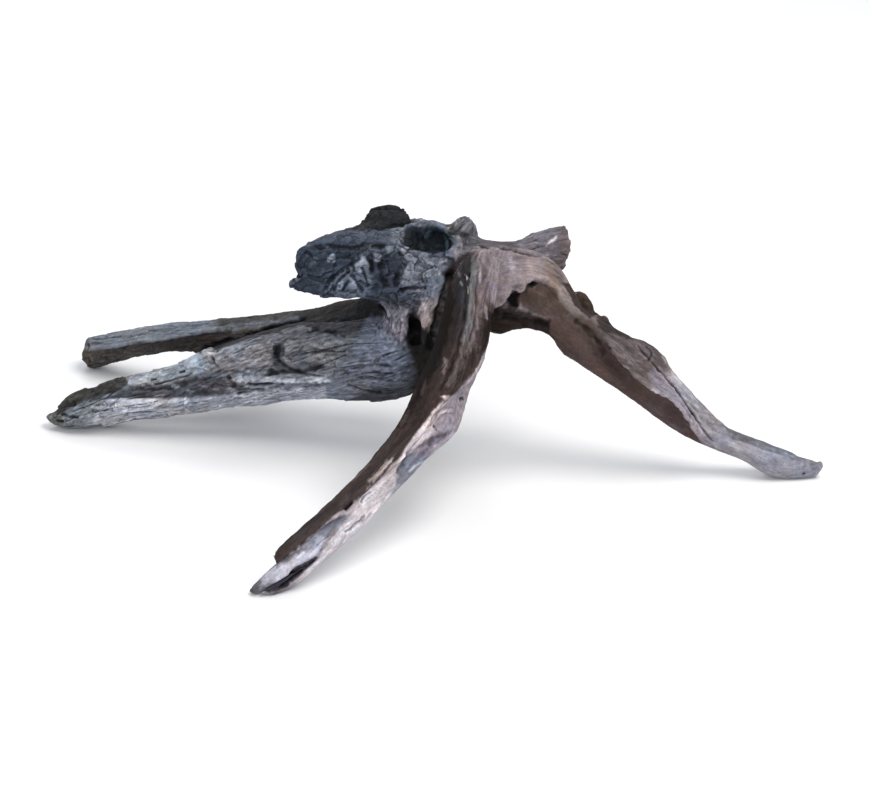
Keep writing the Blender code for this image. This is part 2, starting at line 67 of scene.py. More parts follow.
# Each limb's line through the middle of the wood, in mm: x, y, z, half height, half depth.
# Its colours are for the upper and the under side, the darker under colour partly the wood's own and partly painted
# shade; its other numbers scale the relief.
limbs = {
    "front leg": {
        "path": [
            (28, 4, 113, 9, 11), (25, -6, 107, 10.6, 12), (21.5, -14, 96, 11, 12), (18.5, -22, 83, 12, 12),
            (14, -31, 71, 12.4, 12), (7.5, -42, 60, 12.6, 12), (1, -55, 49, 13.4, 12), (-13, -74, 42.5, 11.4, 11),
            (-25, -88.5, 35.5, 10.4, 10), (-38, -101, 28, 10.2, 9), (-50.5, -111, 20.5, 10.2, 8), (-64, -120, 12, 9.6, 7),
            (-82, -128, 3.2, 7.4, 5),
        ],
        "top": "#8d8285", "under": "#5b5354",
        "chip": 0.35, "flute": 0.7, "ridge": 0.7, "line": 0.9, "crack": 0.4, "twist": 0.006,
    },
    "right leg": {
        "path": [
            (58, 4, 90, 12, 13), (72, 2, 77, 11.6, 13), (89, 1, 66, 11.8, 13), (107, 0, 55, 13.2, 13),
            (124, -1, 41.5, 11.8, 11), (138, -2, 29.5, 9.2, 9), (150, -3, 22, 7, 7), (164, -4, 15.5, 6.7, 7),
            (177, -5, 8.5, 7.6, 7), (190, -5, 5, 5.6, 6), (202, -5, 5, 2.6, 4),
        ],
        "top": "#8f8a8e", "under": "#4a403d",
        "chip": 0.3, "flute": 0.4, "ridge": 0.4, "line": 0.6, "crack": 0.25, "twist": 0.004,
    },
    "left root": {
        "path": [
            (20, 29, 66, 8, 9), (12, 31, 61, 17, 18), (-2, 35, 56, 22.6, 24), (-17, 38, 51, 24, 25),
            (-35, 40, 49, 23.6, 25), (-56, 44, 45, 20.2, 23), (-77, 47, 40, 18.4, 21), (-98, 49, 34, 17, 18),
            (-117, 50, 27.5, 14.2, 15), (-140, 51, 21, 12.2, 13), (-162, 52, 16, 10.6, 12), (-181, 53, 9.6, 9.8, 10),
            (-193, 53, 6.2, 6.2, 6), (-202, 53, 6.2, 2, 3),
        ],
        "top": "#6f727a", "under": "#565860",
        "chip": 1.25, "flute": 1.0, "ridge": 1.1, "line": 1.15, "crack": 1.1, "twist": 0.003, "mottle": 1.25,
    },
    "rear prong": {
        "path": [
            (-14, 46, 64, 10, 13), (-35, 56, 61, 10, 11), (-56, 67, 53, 8.4, 9), (-78, 78, 46, 7.2, 8),
            (-100, 90, 38.5, 7, 8), (-123, 101, 31, 7.8, 8), (-151, 112.5, 23, 7.4, 8), (-175, 123.5, 13, 7.6, 8),
            (-191, 130, 7.2, 7.6, 7),
        ],
        "top": "#72767e", "under": "#3b3c40",
        "chip": 0.7, "flute": 0.6, "ridge": 0.7, "line": 1.0, "crack": 0.6, "twist": 0.003,
    },
    "charred stub": {
        "path": [
            (6, 28, 98, 19, 18), (-14, 25, 103.5, 18.6, 15), (-29, 22, 107, 18.4, 14), (-44, 20, 106.5, 16.8, 13),
            (-56, 18, 105, 13.4, 12), (-69.5, 17, 103.4, 10.4, 10),
        ],
        "top": "#4b5260", "under": "#353b46",
        "chip": 0.8, "flute": 0.8, "ridge": 0.6, "line": 0.7, "crack": 0.5, "twist": 0.0,
    },
    "arch": {
        "path": [
            (22, 6, 99, 16, 14), (36, 5, 98, 20, 16), (50, 5, 97, 18.4, 16), (61, 4, 89, 15, 15),
            (72, 3, 77, 10, 10), (82, 3, 68, 6, 6),
        ],
        "top": "#8f8385", "under": "#3d302a",
        "chip": 0.4, "flute": 0.4, "ridge": 0.5, "line": 0.7, "crack": 0.2, "twist": 0.004,
    },
    "neck": {
        "path": [
            (12, 31, 118, 9, 12), (7, 28, 112, 15, 17), (2, 26, 98, 16, 18), (-5, 29, 78, 15.4, 18),
            (-9, 33, 60, 13, 17), (-10, 35, 48, 9, 12),
        ],
        "top": "#7b7a84", "under": "#5e5b62",
        "chip": 1.1, "flute": 1.0, "ridge": 1.0, "line": 1.0, "crack": 0.8, "twist": 0.004, "mottle": 1.4,
    },
    "top spur": {
        "path": [
            (24, 30, 107, 8, 12), (38, 34, 104, 7.6, 11), (48, 38, 103.5, 6.8, 9.5), (60, 41, 105, 9, 8.5),
            (76, 42.5, 107, 10.4, 8),
        ],
        "top": "#767074", "under": "#4c4342",
        "chip": 0.7, "flute": 0.5, "ridge": 0.8, "line": 1.0, "crack": 0.8, "twist": 0.004,
    },
    "heart": {
        "path": [
            (8, 27, 86, 16, 17), (24, 24, 96, 18, 18), (38, 22, 97, 16, 15), (52, 12, 93, 13, 9.5),
            (66, 10, 88, 8, 8),
        ],
        "top": "#857a7c", "under": "#3a2e29",
        "chip": 0.8, "flute": 0.7, "ridge": 0.8, "line": 0.9, "crack": 0.6, "twist": 0.004,
    },
    "back rib": {
        "path": [
            (64, 14, 90, 6, 7), (71, 14, 85, 6.6, 7), (80, 13, 78.5, 6, 8), (89, 12, 71.5, 5.6, 8),
            (102, 8, 60, 7, 8),
        ],
        "top": "#6d605d", "under": "#41342f",
        "chip": 0.8, "flute": 0.5, "ridge": 0.7, "line": 0.9, "crack": 0.5, "twist": 0.004,
    },
    "stub web": {
        "path": [(-4, 34, 92, 9, 12), (-14, 36, 84, 9, 11), (-24, 42, 74, 9, 10), (-36, 50, 64, 8, 9)],
        "top": "#4c4e56", "under": "#33333a",
        "chip": 0.8, "flute": 0.6, "ridge": 0.8, "line": 0.9, "crack": 0.5, "twist": 0.004,
    },
}

# How the grain is cut by weather and water, in mm
relief = {
    "flute": (62.0, 9.5, 0.9),  # length along the grain, width across it, height
    "ridge": (30.0, 4.6, 0.55),
    "line": (15.0, 2.0, 0.2),
    "fine": (6.0, 1.3, 0.1),
    "crack": (85.0, 5.6, 1.2),
    "chip": (17.0, 5.2, 0.75),
    "splinter": (7.0, 2.5, 0.35),
    "fleck": (3.6, 1.3, 0.0),
    "blot": (15.0, 5.0, 0.0),
    "wander": (36.0, 13.0, 3.2),
}

# Burnt places: middle, reach in mm
burns = {
    "stub": ((-48, 20, 104), 40.0),
    "stub root": ((-16, 24, 104), 24.0),
    "knob": ((-21, 39, 122), 17.0),
    "hollow": ((2, 16, 120), 13.0),
}

# Where the solids are parted: middle, normal, reach, in mm before the shift
forks = {
    "front_leg": ((19.5, -18, 89.5), (0.25, 0.52, 0.82), 22),
    "right_leg": ((82, 5, 70.5), (-0.86, 0.05, 0.50), 29),
    "left_trunk": ((-37, 46, 51), (0.98, -0.14, 0.12), 34),
    "long_prong": ((-118, 50, 27), (0.96, 0, 0.28), 24),
    "rear_prong": ((-101, 90.5, 39.5), (0.86, -0.43, 0.27), 15),
    "charred_stub": ((-16, 28, 104.5), (0.894, 0.05, -0.447), 27),
    "top_spur": ((54, 40.3, 104.6), (-0.98, -0.14, -0.10), 13),
}

slots = {
    "crown": "brown_wood",
    "front_leg": "brown_wood",
    "right_leg": "brown_wood",
    "top_spur": "brown_wood",
    "left_trunk": "grey_wood",
    "long_prong": "grey_wood",
    "rear_prong": "grey_wood",
    "charred_stub": "charred_wood",
}


def smoothStep(low, high, x):
    t = np.clip((x - low) / (high - low), 0.0, 1.0)
    return t * t * (3.0 - 2.0 * t)


def linearColour(code):
    parts = [int(code[i : i + 2], 16) / 255.0 for i in (1, 3, 5)]
    return np.array([c / 12.92 if c <= 0.04045 else ((c + 0.055) / 1.055) ** 2.4 for c in parts])


# Smooth noise on a lattice of fixed random slopes
slopes = np.random.default_rng(11).normal(size=(4096, 3)).astype(np.float32)
slopes /= np.linalg.norm(slopes, axis=1, keepdims=True)


def cellNumber(cell, seed):
    # A fixed random number for each cell of the lattice
    key = cell[:, 0] * 73856093 ^ cell[:, 1] * 19349663 ^ cell[:, 2] * 83492791 ^ seed * 26544357
    return (key ^ (key >> 11)) & (len(slopes) - 1)


def noise(p, seed=0):
    p = np.asarray(p, dtype=np.float32)
    cell = np.floor(p)
    f = p - cell
    cell = cell.astype(np.int64)
    ease = f * f * f * (f * (f * 6 - 15) + 10)
    total = np.zeros(len(p), dtype=np.float32)
    for dx in (0, 1):
        wx = ease[:, 0] if dx else 1 - ease[:, 0]
        for dy in (0, 1):
            wy = ease[:, 1] if dy else 1 - ease[:, 1]
            for dz in (0, 1):
                wz = ease[:, 2] if dz else 1 - ease[:, 2]
                g = slopes[cellNumber(cell + (dx, dy, dz), seed)]
                lean = g[:, 0] * (f[:, 0] - dx) + g[:, 1] * (f[:, 1] - dy) + g[:, 2] * (f[:, 2] - dz)
                total += lean * wx * wy * wz
    return total * 1.7


def facets(p, seed=0):
    # Scattered cells: distance to the border, a tilted flat face on each, and a number for each
    p = np.asarray(p, dtype=np.float32)
    home = np.floor(p).astype(np.int64)
    first = np.full(len(p), 9.0, dtype=np.float32)
    second = np.full(len(p), 9.0, dtype=np.float32)
    owner = np.zeros(len(p), dtype=np.int64)
    inside = np.zeros((len(p), 3), dtype=np.float32)
    for dx in (-1, 0, 1):
        for dy in (-1, 0, 1):
            for dz in (-1, 0, 1):
                c = home + (dx, dy, dz)
                key = cellNumber(c, seed)
                off = (c + 0.5 + slopes[key] * 0.42 - p).astype(np.float32)
                d = np.linalg.norm(off, axis=1)
                near = d < first
                inside[near] = off[near]
                second = np.where(near, first, np.minimum(second, d))
                owner = np.where(near, key, owner)
                first = np.where(near, d, first)
    tilt = (inside * slopes[(owner * 7 + 13) & (len(slopes) - 1)]).sum(1)
    return second - first, tilt, (owner % 97) / 97.0


def stretched(q, long, wide):
    # Places along and across the grain, counted in lengths and widths
    return np.stack([q[:, 0] / long, q[:, 1] / wide, q[:, 2] / wide], 1)


def newObject(name, mesh):
    obj = bpy.data.objects.new(name, mesh)
    bpy.context.scene.collection.objects.link(obj)
    return obj


def bakeModifiers(obj):
    evaluated = obj.evaluated_get(bpy.context.evaluated_depsgraph_get())
    mesh = bpy.data.meshes.new_from_object(evaluated)
    old = obj.data
    obj.modifiers.clear()
    obj.data = mesh
    bpy.data.meshes.remove(old)


# One skin over all the solids, fine enough for the grain
def makeSkin():
    whole = bmesh.new()
    for name in sorted(nodes):
        part = bmesh.new()
        part.from_mesh(nodes[name].data)
        part.transform(nodes[name].matrix_world)
        bmesh.ops.remove_doubles(part, verts=part.verts, dist=1e-6)
        part.normal_update()
        for v in part.verts:
            v.co += v.normal * skin["swell"] / 1000
        held = bpy.data.meshes.new("held")
        part.to_mesh(held)
        part.free()
        whole.from_mesh(held)
        bpy.data.meshes.remove(held)
    mesh = bpy.data.meshes.new("wood skin")
    whole.to_mesh(mesh)
    whole.free()
    obj = newObject("woodSkin", mesh)
    remesh = obj.modifiers.new("close the forks", "REMESH")
    remesh.mode = "VOXEL"
    remesh.voxel_size = skin["voxel"] / 1000
    remesh.adaptivity = 0
    soften = obj.modifiers.new("soften", "SMOOTH")
    soften.factor = 0.5
    soften.iterations = skin["smoothing"]
    bakeModifiers(obj)
    bm = bmesh.new()
    bm.from_mesh(obj.data)
    loose = islandsOf(bm)
    loose.sort(key=len)
    for island in loose[:-1]:
        bmesh.ops.delete(bm, geom=island, context="VERTS")
    bm.to_mesh(obj.data)
    bm.free()
    return obj


def islandsOf(bm):
    seen = set()
    islands = []
    for start in bm.verts:
        if start in seen:
            continue
        seen.add(start)
        todo, island = [start], []
        while todo:
            v = todo.pop()
            island.append(v)
            for e in v.link_edges:
                w = e.other_vert(v)
                if w not in seen:
                    seen.add(w)
                    todo.append(w)
        islands.append(island)
    return islands


wood = makeSkin()
count = len(wood.data.vertices)
print("skin:", count, "points")


def readPoints(mesh, what):
    out = np.empty(len(mesh.vertices) * 3, dtype=np.float32)
    if what == "co":
        mesh.vertices.foreach_get("co", out)
    else:
        mesh.vertex_normals.foreach_get("vector", out)
    return out.reshape(-1, 3)


edgeEnds = np.empty(len(wood.data.edges) * 2, dtype=np.int32)
wood.data.edges.foreach_get("vertices", edgeEnds)
edgeEnds = edgeEnds.reshape(-1, 2)
degree = np.bincount(edgeEnds.ravel(), minlength=count).astype(np.float32)


def spread(values, times=1):
    # Each point takes the mean of its neighbours
    for _ in range(times):
        flat = values.reshape(count, -1)
        out = np.empty_like(flat)
        for k in range(flat.shape[1]):
            a = np.bincount(edgeEnds[:, 0], weights=flat[edgeEnds[:, 1], k], minlength=count)
            b = np.bincount(edgeEnds[:, 1], weights=flat[edgeEnds[:, 0], k], minlength=count)
            out[:, k] = (a + b) / degree
        values = out.reshape(values.shape)
    return values


points = readPoints(wood.data, "co") * 1000
normals = readPoints(wood.data, "normal").copy()
smoothNormals = spread(normals, 8)
smoothNormals /= np.linalg.norm(smoothNormals, axis=1, keepdims=True)


# The grain runs along each limb
def curveThrough(stations, step):
    s = np.array(stations, dtype=float)
    rows = []
    for i in range(len(s) - 1):
        a, b, c, d = s[max(i - 1, 0)], s[i], s[i + 1], s[min(i + 2, len(s) - 1)]
        pieces = max(2, int(np.linalg.norm(c[:3] - b[:3]) / step))
        for k in range(pieces):
            t = k / pieces
            bent = 2 * b + (c - a) * t + (2 * a - 5 * b + 4 * c - d) * t * t
            rows.append(0.5 * (bent + (3 * b - a - 3 * c + d) * t**3))
    rows.append(s[-1])
    return np.array(rows)


def limbCoordinates(limb):
    line = curveThrough(limb["path"], 2.0)
    line[:, 1] -= skin["middle"]
    axis = line[:, :3]
    size = (line[:, 3] + line[:, 4]) / 2
    ahead = np.gradient(axis, axis=0)
    ahead /= np.linalg.norm(ahead, axis=1, keepdims=True)
    side = np.zeros_like(ahead)
    across = np.cross(ahead[0], (0, 0, 1) if abs(ahead[0][2]) < 0.8 else (0, 1, 0))
    for i in range(len(ahead)):
        across = across - ahead[i] * across.dot(ahead[i])
        across /= np.linalg.norm(across)
        side[i] = across
    up = np.cross(ahead, side)
    run = np.concatenate([[0], np.cumsum(np.linalg.norm(np.diff(axis, axis=0), axis=1))])
    gaps = (points**2).sum(1)[:, None] - 2 * points @ axis.T.astype(np.float32) + (axis**2).sum(1)[None, :]
    reach = np.sqrt(np.maximum(gaps, 0)) - size[None, :]
    nearest = reach.argmin(1)
    off = points - axis[nearest]
    s = run[nearest] + (off * ahead[nearest]).sum(1)
    u = (off * side[nearest]).sum(1)
    v = (off * up[nearest]).sum(1)
    turn = s * limb["twist"]
    u, v = u * np.cos(turn) - v * np.sin(turn), u * np.sin(turn) + v * np.cos(turn)
    return reach.min(1), np.stack([s, u, v], 1).astype(np.float32)


reaches, grains = [], []
for limb in limbs.values():
    reach, grain = limbCoordinates(limb)
    reaches.append(reach)
    grains.append(grain)
reaches = np.array(reaches)
shares = np.exp(-(reaches - reaches.min(0)) / 2.2)
shares /= shares.sum(0)
shares[shares < 0.04] = 0
shares /= shares.sum(0)
owner = shares.argmax(0)
limbNumber = {name: k for k, name in enumerate(limbs)}
print("grain laid along", len(limbs), "limbs")

seenFrom = math.radians(viewPoint["elevation"])
backward = Vector((0, -math.cos(seenFrom), math.sin(seenFrom)))
eye = Vector(viewPoint["target"]) + backward * viewPoint["distance"]
lookTurn = (-backward).to_track_quat("-Z", "Y")
zoom = viewPoint["width"] * viewPoint["lens"] / viewPoint["sensor"]


def pictureOf(p):
    # Where points in mm fall in the picture
    turned = (p / 1000 - np.array(eye)) @ np.array(lookTurn.to_matrix())
    across = viewPoint["width"] / 2 - turned[:, 0] / turned[:, 2] * zoom
    down = viewPoint["height"] / 2 + turned[:, 1] / turned[:, 2] * zoom
    return np.stack([across, down], 1)


# The outline as the picture shows it: limbs, reach and line, in picture points.
# Wood on the left of a line, going along it, comes back to the line.
trims = [
    (["front leg"], 16, [(493, 312), (492, 326), (489, 342), (485, 358), (477, 375), (470, 390), (466, 406),
        (462, 420), (457, 431), (448, 441), (437, 450), (424, 461), (410, 477), (395, 492), (382, 507),
        (370, 521), (357, 535), (340, 550), (320, 567), (302, 583), (288, 596)]),
    (["front leg"], 14, [(280, 567), (276.5, 563), (274.5, 558), (275, 553), (279, 547), (285, 541),
        (297, 530), (311, 518.5), (331, 500), (353, 479), (370, 459.5), (387, 439), (399, 417), (408, 402)]),
    (["left root"], 16, [(42, 416), (49, 414), (57, 412), (61, 402), (69, 394), (84, 388), (100, 385)]),
    (["left root"], 10, [(104, 424), (90, 427), (62, 427), (51, 422), (44, 416)]),
    (["left root", "stub web", "heart"], 10, [(424, 384), (410, 394), (394, 400), (380, 402)]),
    (["rear prong"], 12, [(96, 369), (89, 367), (82, 360), (81, 354), (86, 343), (88, 337), (97, 333)]),
    (["rear prong"], 6, [(196, 352), (186, 350.8), (176, 350), (165, 351), (150, 353.5), (135, 357),
        (116, 362), (101, 366.5), (92, 369.5)]),
    (["charred stub"], 18, [(340, 230.5), (352, 228), (360, 226), (364, 220), (366.5, 214), (370, 211),
        (376, 209.5), (382, 208), (388, 206.5), (394, 206.3), (400, 208), (404, 211.5), (408, 217)]),
    (["charred stub"], 12, [(296, 264), (297, 252), (303, 247), (309, 246), (308, 243), (318, 236)]),
    (["charred stub"], 10, [(291, 284), (298, 277), (304, 274)]),
    (["charred stub"], 10, [(322, 296), (308, 292), (298, 290), (291, 284)]),
    (["top spur"], 12, [(546, 228), (557, 224.5), (564, 225), (568, 230), (569, 242)]),
    (["right leg"], 14, [(628, 335), (641, 338), (655, 345), (664, 356), (672, 370), (685, 385), (700, 401),
        (712, 414), (726, 427), (745, 435), (765, 441.5), (785, 449), (798, 456), (812, 459.5), (820, 463)]),
    (["right leg", "arch", "heart", "back rib"], 16, [(712, 452), (700, 446), (684, 438), (670, 429),
        (656, 418), (638, 404), (618, 390), (598, 377), (580, 365), (564, 355), (557, 346), (553, 337),
        (541, 331), (526, 328), (512, 330), (500, 336)]),
]


def trimOutline(names, reach, path):
    at = np.nonzero(np.isin(owner, [limbNumber[name] for name in names]))[0]
    p = pictureOf(points[at])
    line = np.array(path, dtype=float)
    nearest, over, ends = np.full(len(at), 1e9), np.zeros(len(at)), np.zeros(len(at))
    outward = np.zeros((len(at), 2))
    whole = np.linalg.norm(np.diff(line, axis=0), axis=1).sum()
    run = 0.0
    for a, b in zip(line[:-1], line[1:]):
        long = np.linalg.norm(b - a)
        way = (b - a) / long
        out = np.array([way[1], -way[0]])
        t = np.clip((p - a) @ way, 0, long)
        gap = np.linalg.norm(p - a - t[:, None] * way, axis=1)
        better = gap < nearest
        nearest[better] = gap[better]
        over[better] = ((p - a) @ out)[better]
        outward[better] = out
        ends[better] = np.minimum(run + t, whole - run - t)[better]
        run += long
    rounding = 3.0  # picture points
    d = over + 0.7 * noise(points[at] / 4, 601)
    moved = np.where(d > -rounding, -rounding * np.exp(-(d + rounding) / rounding), d) - d
    moved *= (over < reach) * smoothStep(0.0, 4.0, ends) * smoothStep(reach + 6, reach, nearest)
    turn = np.array(lookTurn.to_matrix())
    deep = (np.array(eye) * 1000 - points[at]) @ np.array(backward)
    step = moved * deep / zoom
    points[at] += step[:, None] * (outward[:, :1] * turn[:, 0] - outward[:, 1:] * turn[:, 1])


for trim in trims:
    trimOutline(*trim)
points[:, 2] = np.maximum(points[:, 2], 0.0)
wood.data.vertices.foreach_set("co", (points / 1000).astype(np.float32).ravel())
wood.data.update()
normals = readPoints(wood.data, "normal").copy()
smoothNormals = spread(normals, 8)
smoothNormals /= np.maximum(np.linalg.norm(smoothNormals, axis=1, keepdims=True), 1e-6)
print("outline trimmed:", len(trims))


def burnAmount():
    total = np.zeros(count)
    wobble = noise(points / 7.0, 91) * 4.0 + noise(points / 2.6, 92) * 1.6
    for middle, reach in burns.values():
        d = np.linalg.norm(points - (middle[0], middle[1] - skin["middle"], middle[2]), axis=1)
        total = np.maximum(total, smoothStep(reach + 3, reach - 3, d + wobble))
    return total * smoothStep(78, 90, points[:, 2] + 0.5 * wobble)


burnt = burnAmount()
rough = smoothStep(-0.45, 0.35, noise(points / 15, 95) + 0.4 * noise(points / 5, 96))


def slopeOf(values):
    # The steepest way up a value along the skin
    a, b = edgeEnds[:, 0], edgeEnds[:, 1]
    way = points[b] - points[a]
    way *= ((values[b] - values[a]) / np.maximum((way**2).sum(1), 1e-6))[:, None]
    slope = np.stack([np.bincount(a, way[:, i], count) + np.bincount(b, way[:, i], count) for i in range(3)], 1)
    return slope / np.maximum(np.linalg.norm(slope, axis=1, keepdims=True), 1e-9)


height = np.zeros(count)  # along the normal, in mm
mottle = np.zeros(count)  # flecks and blots
creaseShade = np.zeros(count)  # how much painted shade sits in a crack, pit or char seam
streak = np.zeros(count)  # light and dark fibres
fibre = np.zeros((count, 3), dtype=np.float32)
for k, limb in enumerate(limbs.values()):
    at = np.nonzero(shares[k] > 0)[0]
    if not len(at):
        continue
    q = grains[k][at].copy()
    long, wide, much = relief["wander"]
    bend = stretched(q, long, wide)
    q[:, 1] += much * noise(bend, 21 + k)
    q[:, 2] += much * noise(bend + 40, 51 + k)

    def along(kind, seed):
        return noise(stretched(q, *relief[kind][:2]), seed + k)

    flute = along("flute", 100)
    ridge = 1 - 2 * np.abs(along("ridge", 130))
    line = along("line", 160)
    fine = along("fine", 190)
    split = np.zeros(count)
    split[at] = along("crack", 220)
    run = np.zeros(count)
    run[at] = grains[k][at][:, 0]
    crossing = spread(np.abs((slopeOf(split) * slopeOf(run)).sum(1)), 2)[at]
    split = np.abs(split[at])
    where = smoothStep(0.0, 0.35, noise(stretched(q, 34, 13), 250 + k))
    crack = smoothStep(0.08, 0.0, split) * where * smoothStep(0.5, 0.22, crossing)
    fleck = along("fleck", 360)
    flecks = 0.45 * smoothStep(0.15, 0.6, fleck) - 0.3 * smoothStep(-0.15, -0.6, fleck)
    mottle[at] += shares[k][at] * limb.get("mottle", 0.8) * (flecks + 0.24 * along("blot", 390))
    calm = 1 - 0.88 * burnt[at]
    combed = (0.25 + 0.75 * rough[at]) * calm

    def chipped(kind, seed):
        wander = 0.12 * noise(q / 3.0, seed + 9)[:, None]
        return facets(stretched(q, *relief[kind][:2]) + wander, seed + k)

    _, chipTilt, chipTone = chipped("chip", 300)
    _, splinterTilt, splinterTone = chipped("splinter", 330)
    h = relief["flute"][2] * limb["flute"] * flute * calm
    h += relief["ridge"][2] * limb["ridge"] * (ridge - 0.3) * combed
    h += relief["line"][2] * limb["line"] * line * combed
    h += relief["fine"][2] * limb["line"] * fine
    h += relief["chip"][2] * limb["chip"] * (0.9 * chipTilt + 0.5 * (chipTone - 0.5)) * calm
    h += relief["splinter"][2] * limb["chip"] * (0.9 * splinterTilt + 0.6 * (splinterTone - 0.5)) * combed
    h -= relief["crack"][2] * limb["crack"] * crack * calm
    w = shares[k][at]
    height[at] += w * h
    # Painted shade in the grain's cracks
    creaseShade[at] += w * crack * limb["crack"] * calm
    fibres = (0.30 * line + 0.28 * fine + 0.2 * along("ridge", 280)) * combed
    streak[at] += w * (fibres + 0.22 * (chipTone - 0.5) + 0.24 * (splinterTone - 0.5) * combed)
    mine = owner[at] == k
    fibre[at[mine]] = q[mine]


# Char breaks into flat facets
at = np.nonzero(burnt > 0.02)[0]
q = grains[limbNumber["charred stub"]][at]
wobble = 0.22 * noise(points[at] / 4.5, 301)[:, None]
edge, tilt, tone = facets(stretched(q, 11, 7.5) + wobble, 5)
_, tiltSmall, toneSmall = facets(stretched(q, 5.0, 3.4) + wobble, 6)
broken = 1.5 * tilt + 0.35 * (tone - 0.5) + 0.6 * tiltSmall + 0.12 * (toneSmall - 0.5)
height[at] += burnt[at] * (broken + 0.15 * noise(points[at] / 1.5, 7))
# Painted shade along the seams between char facets
creaseShade[at] += burnt[at] * 0.08 * smoothStep(0.08, 0.0, edge)
charBlotch = np.zeros(count)
charBlotch[at] = 0.6 * (tone - 0.5) + 0.5 * (toneSmall - 0.5)
print("relief worked out")
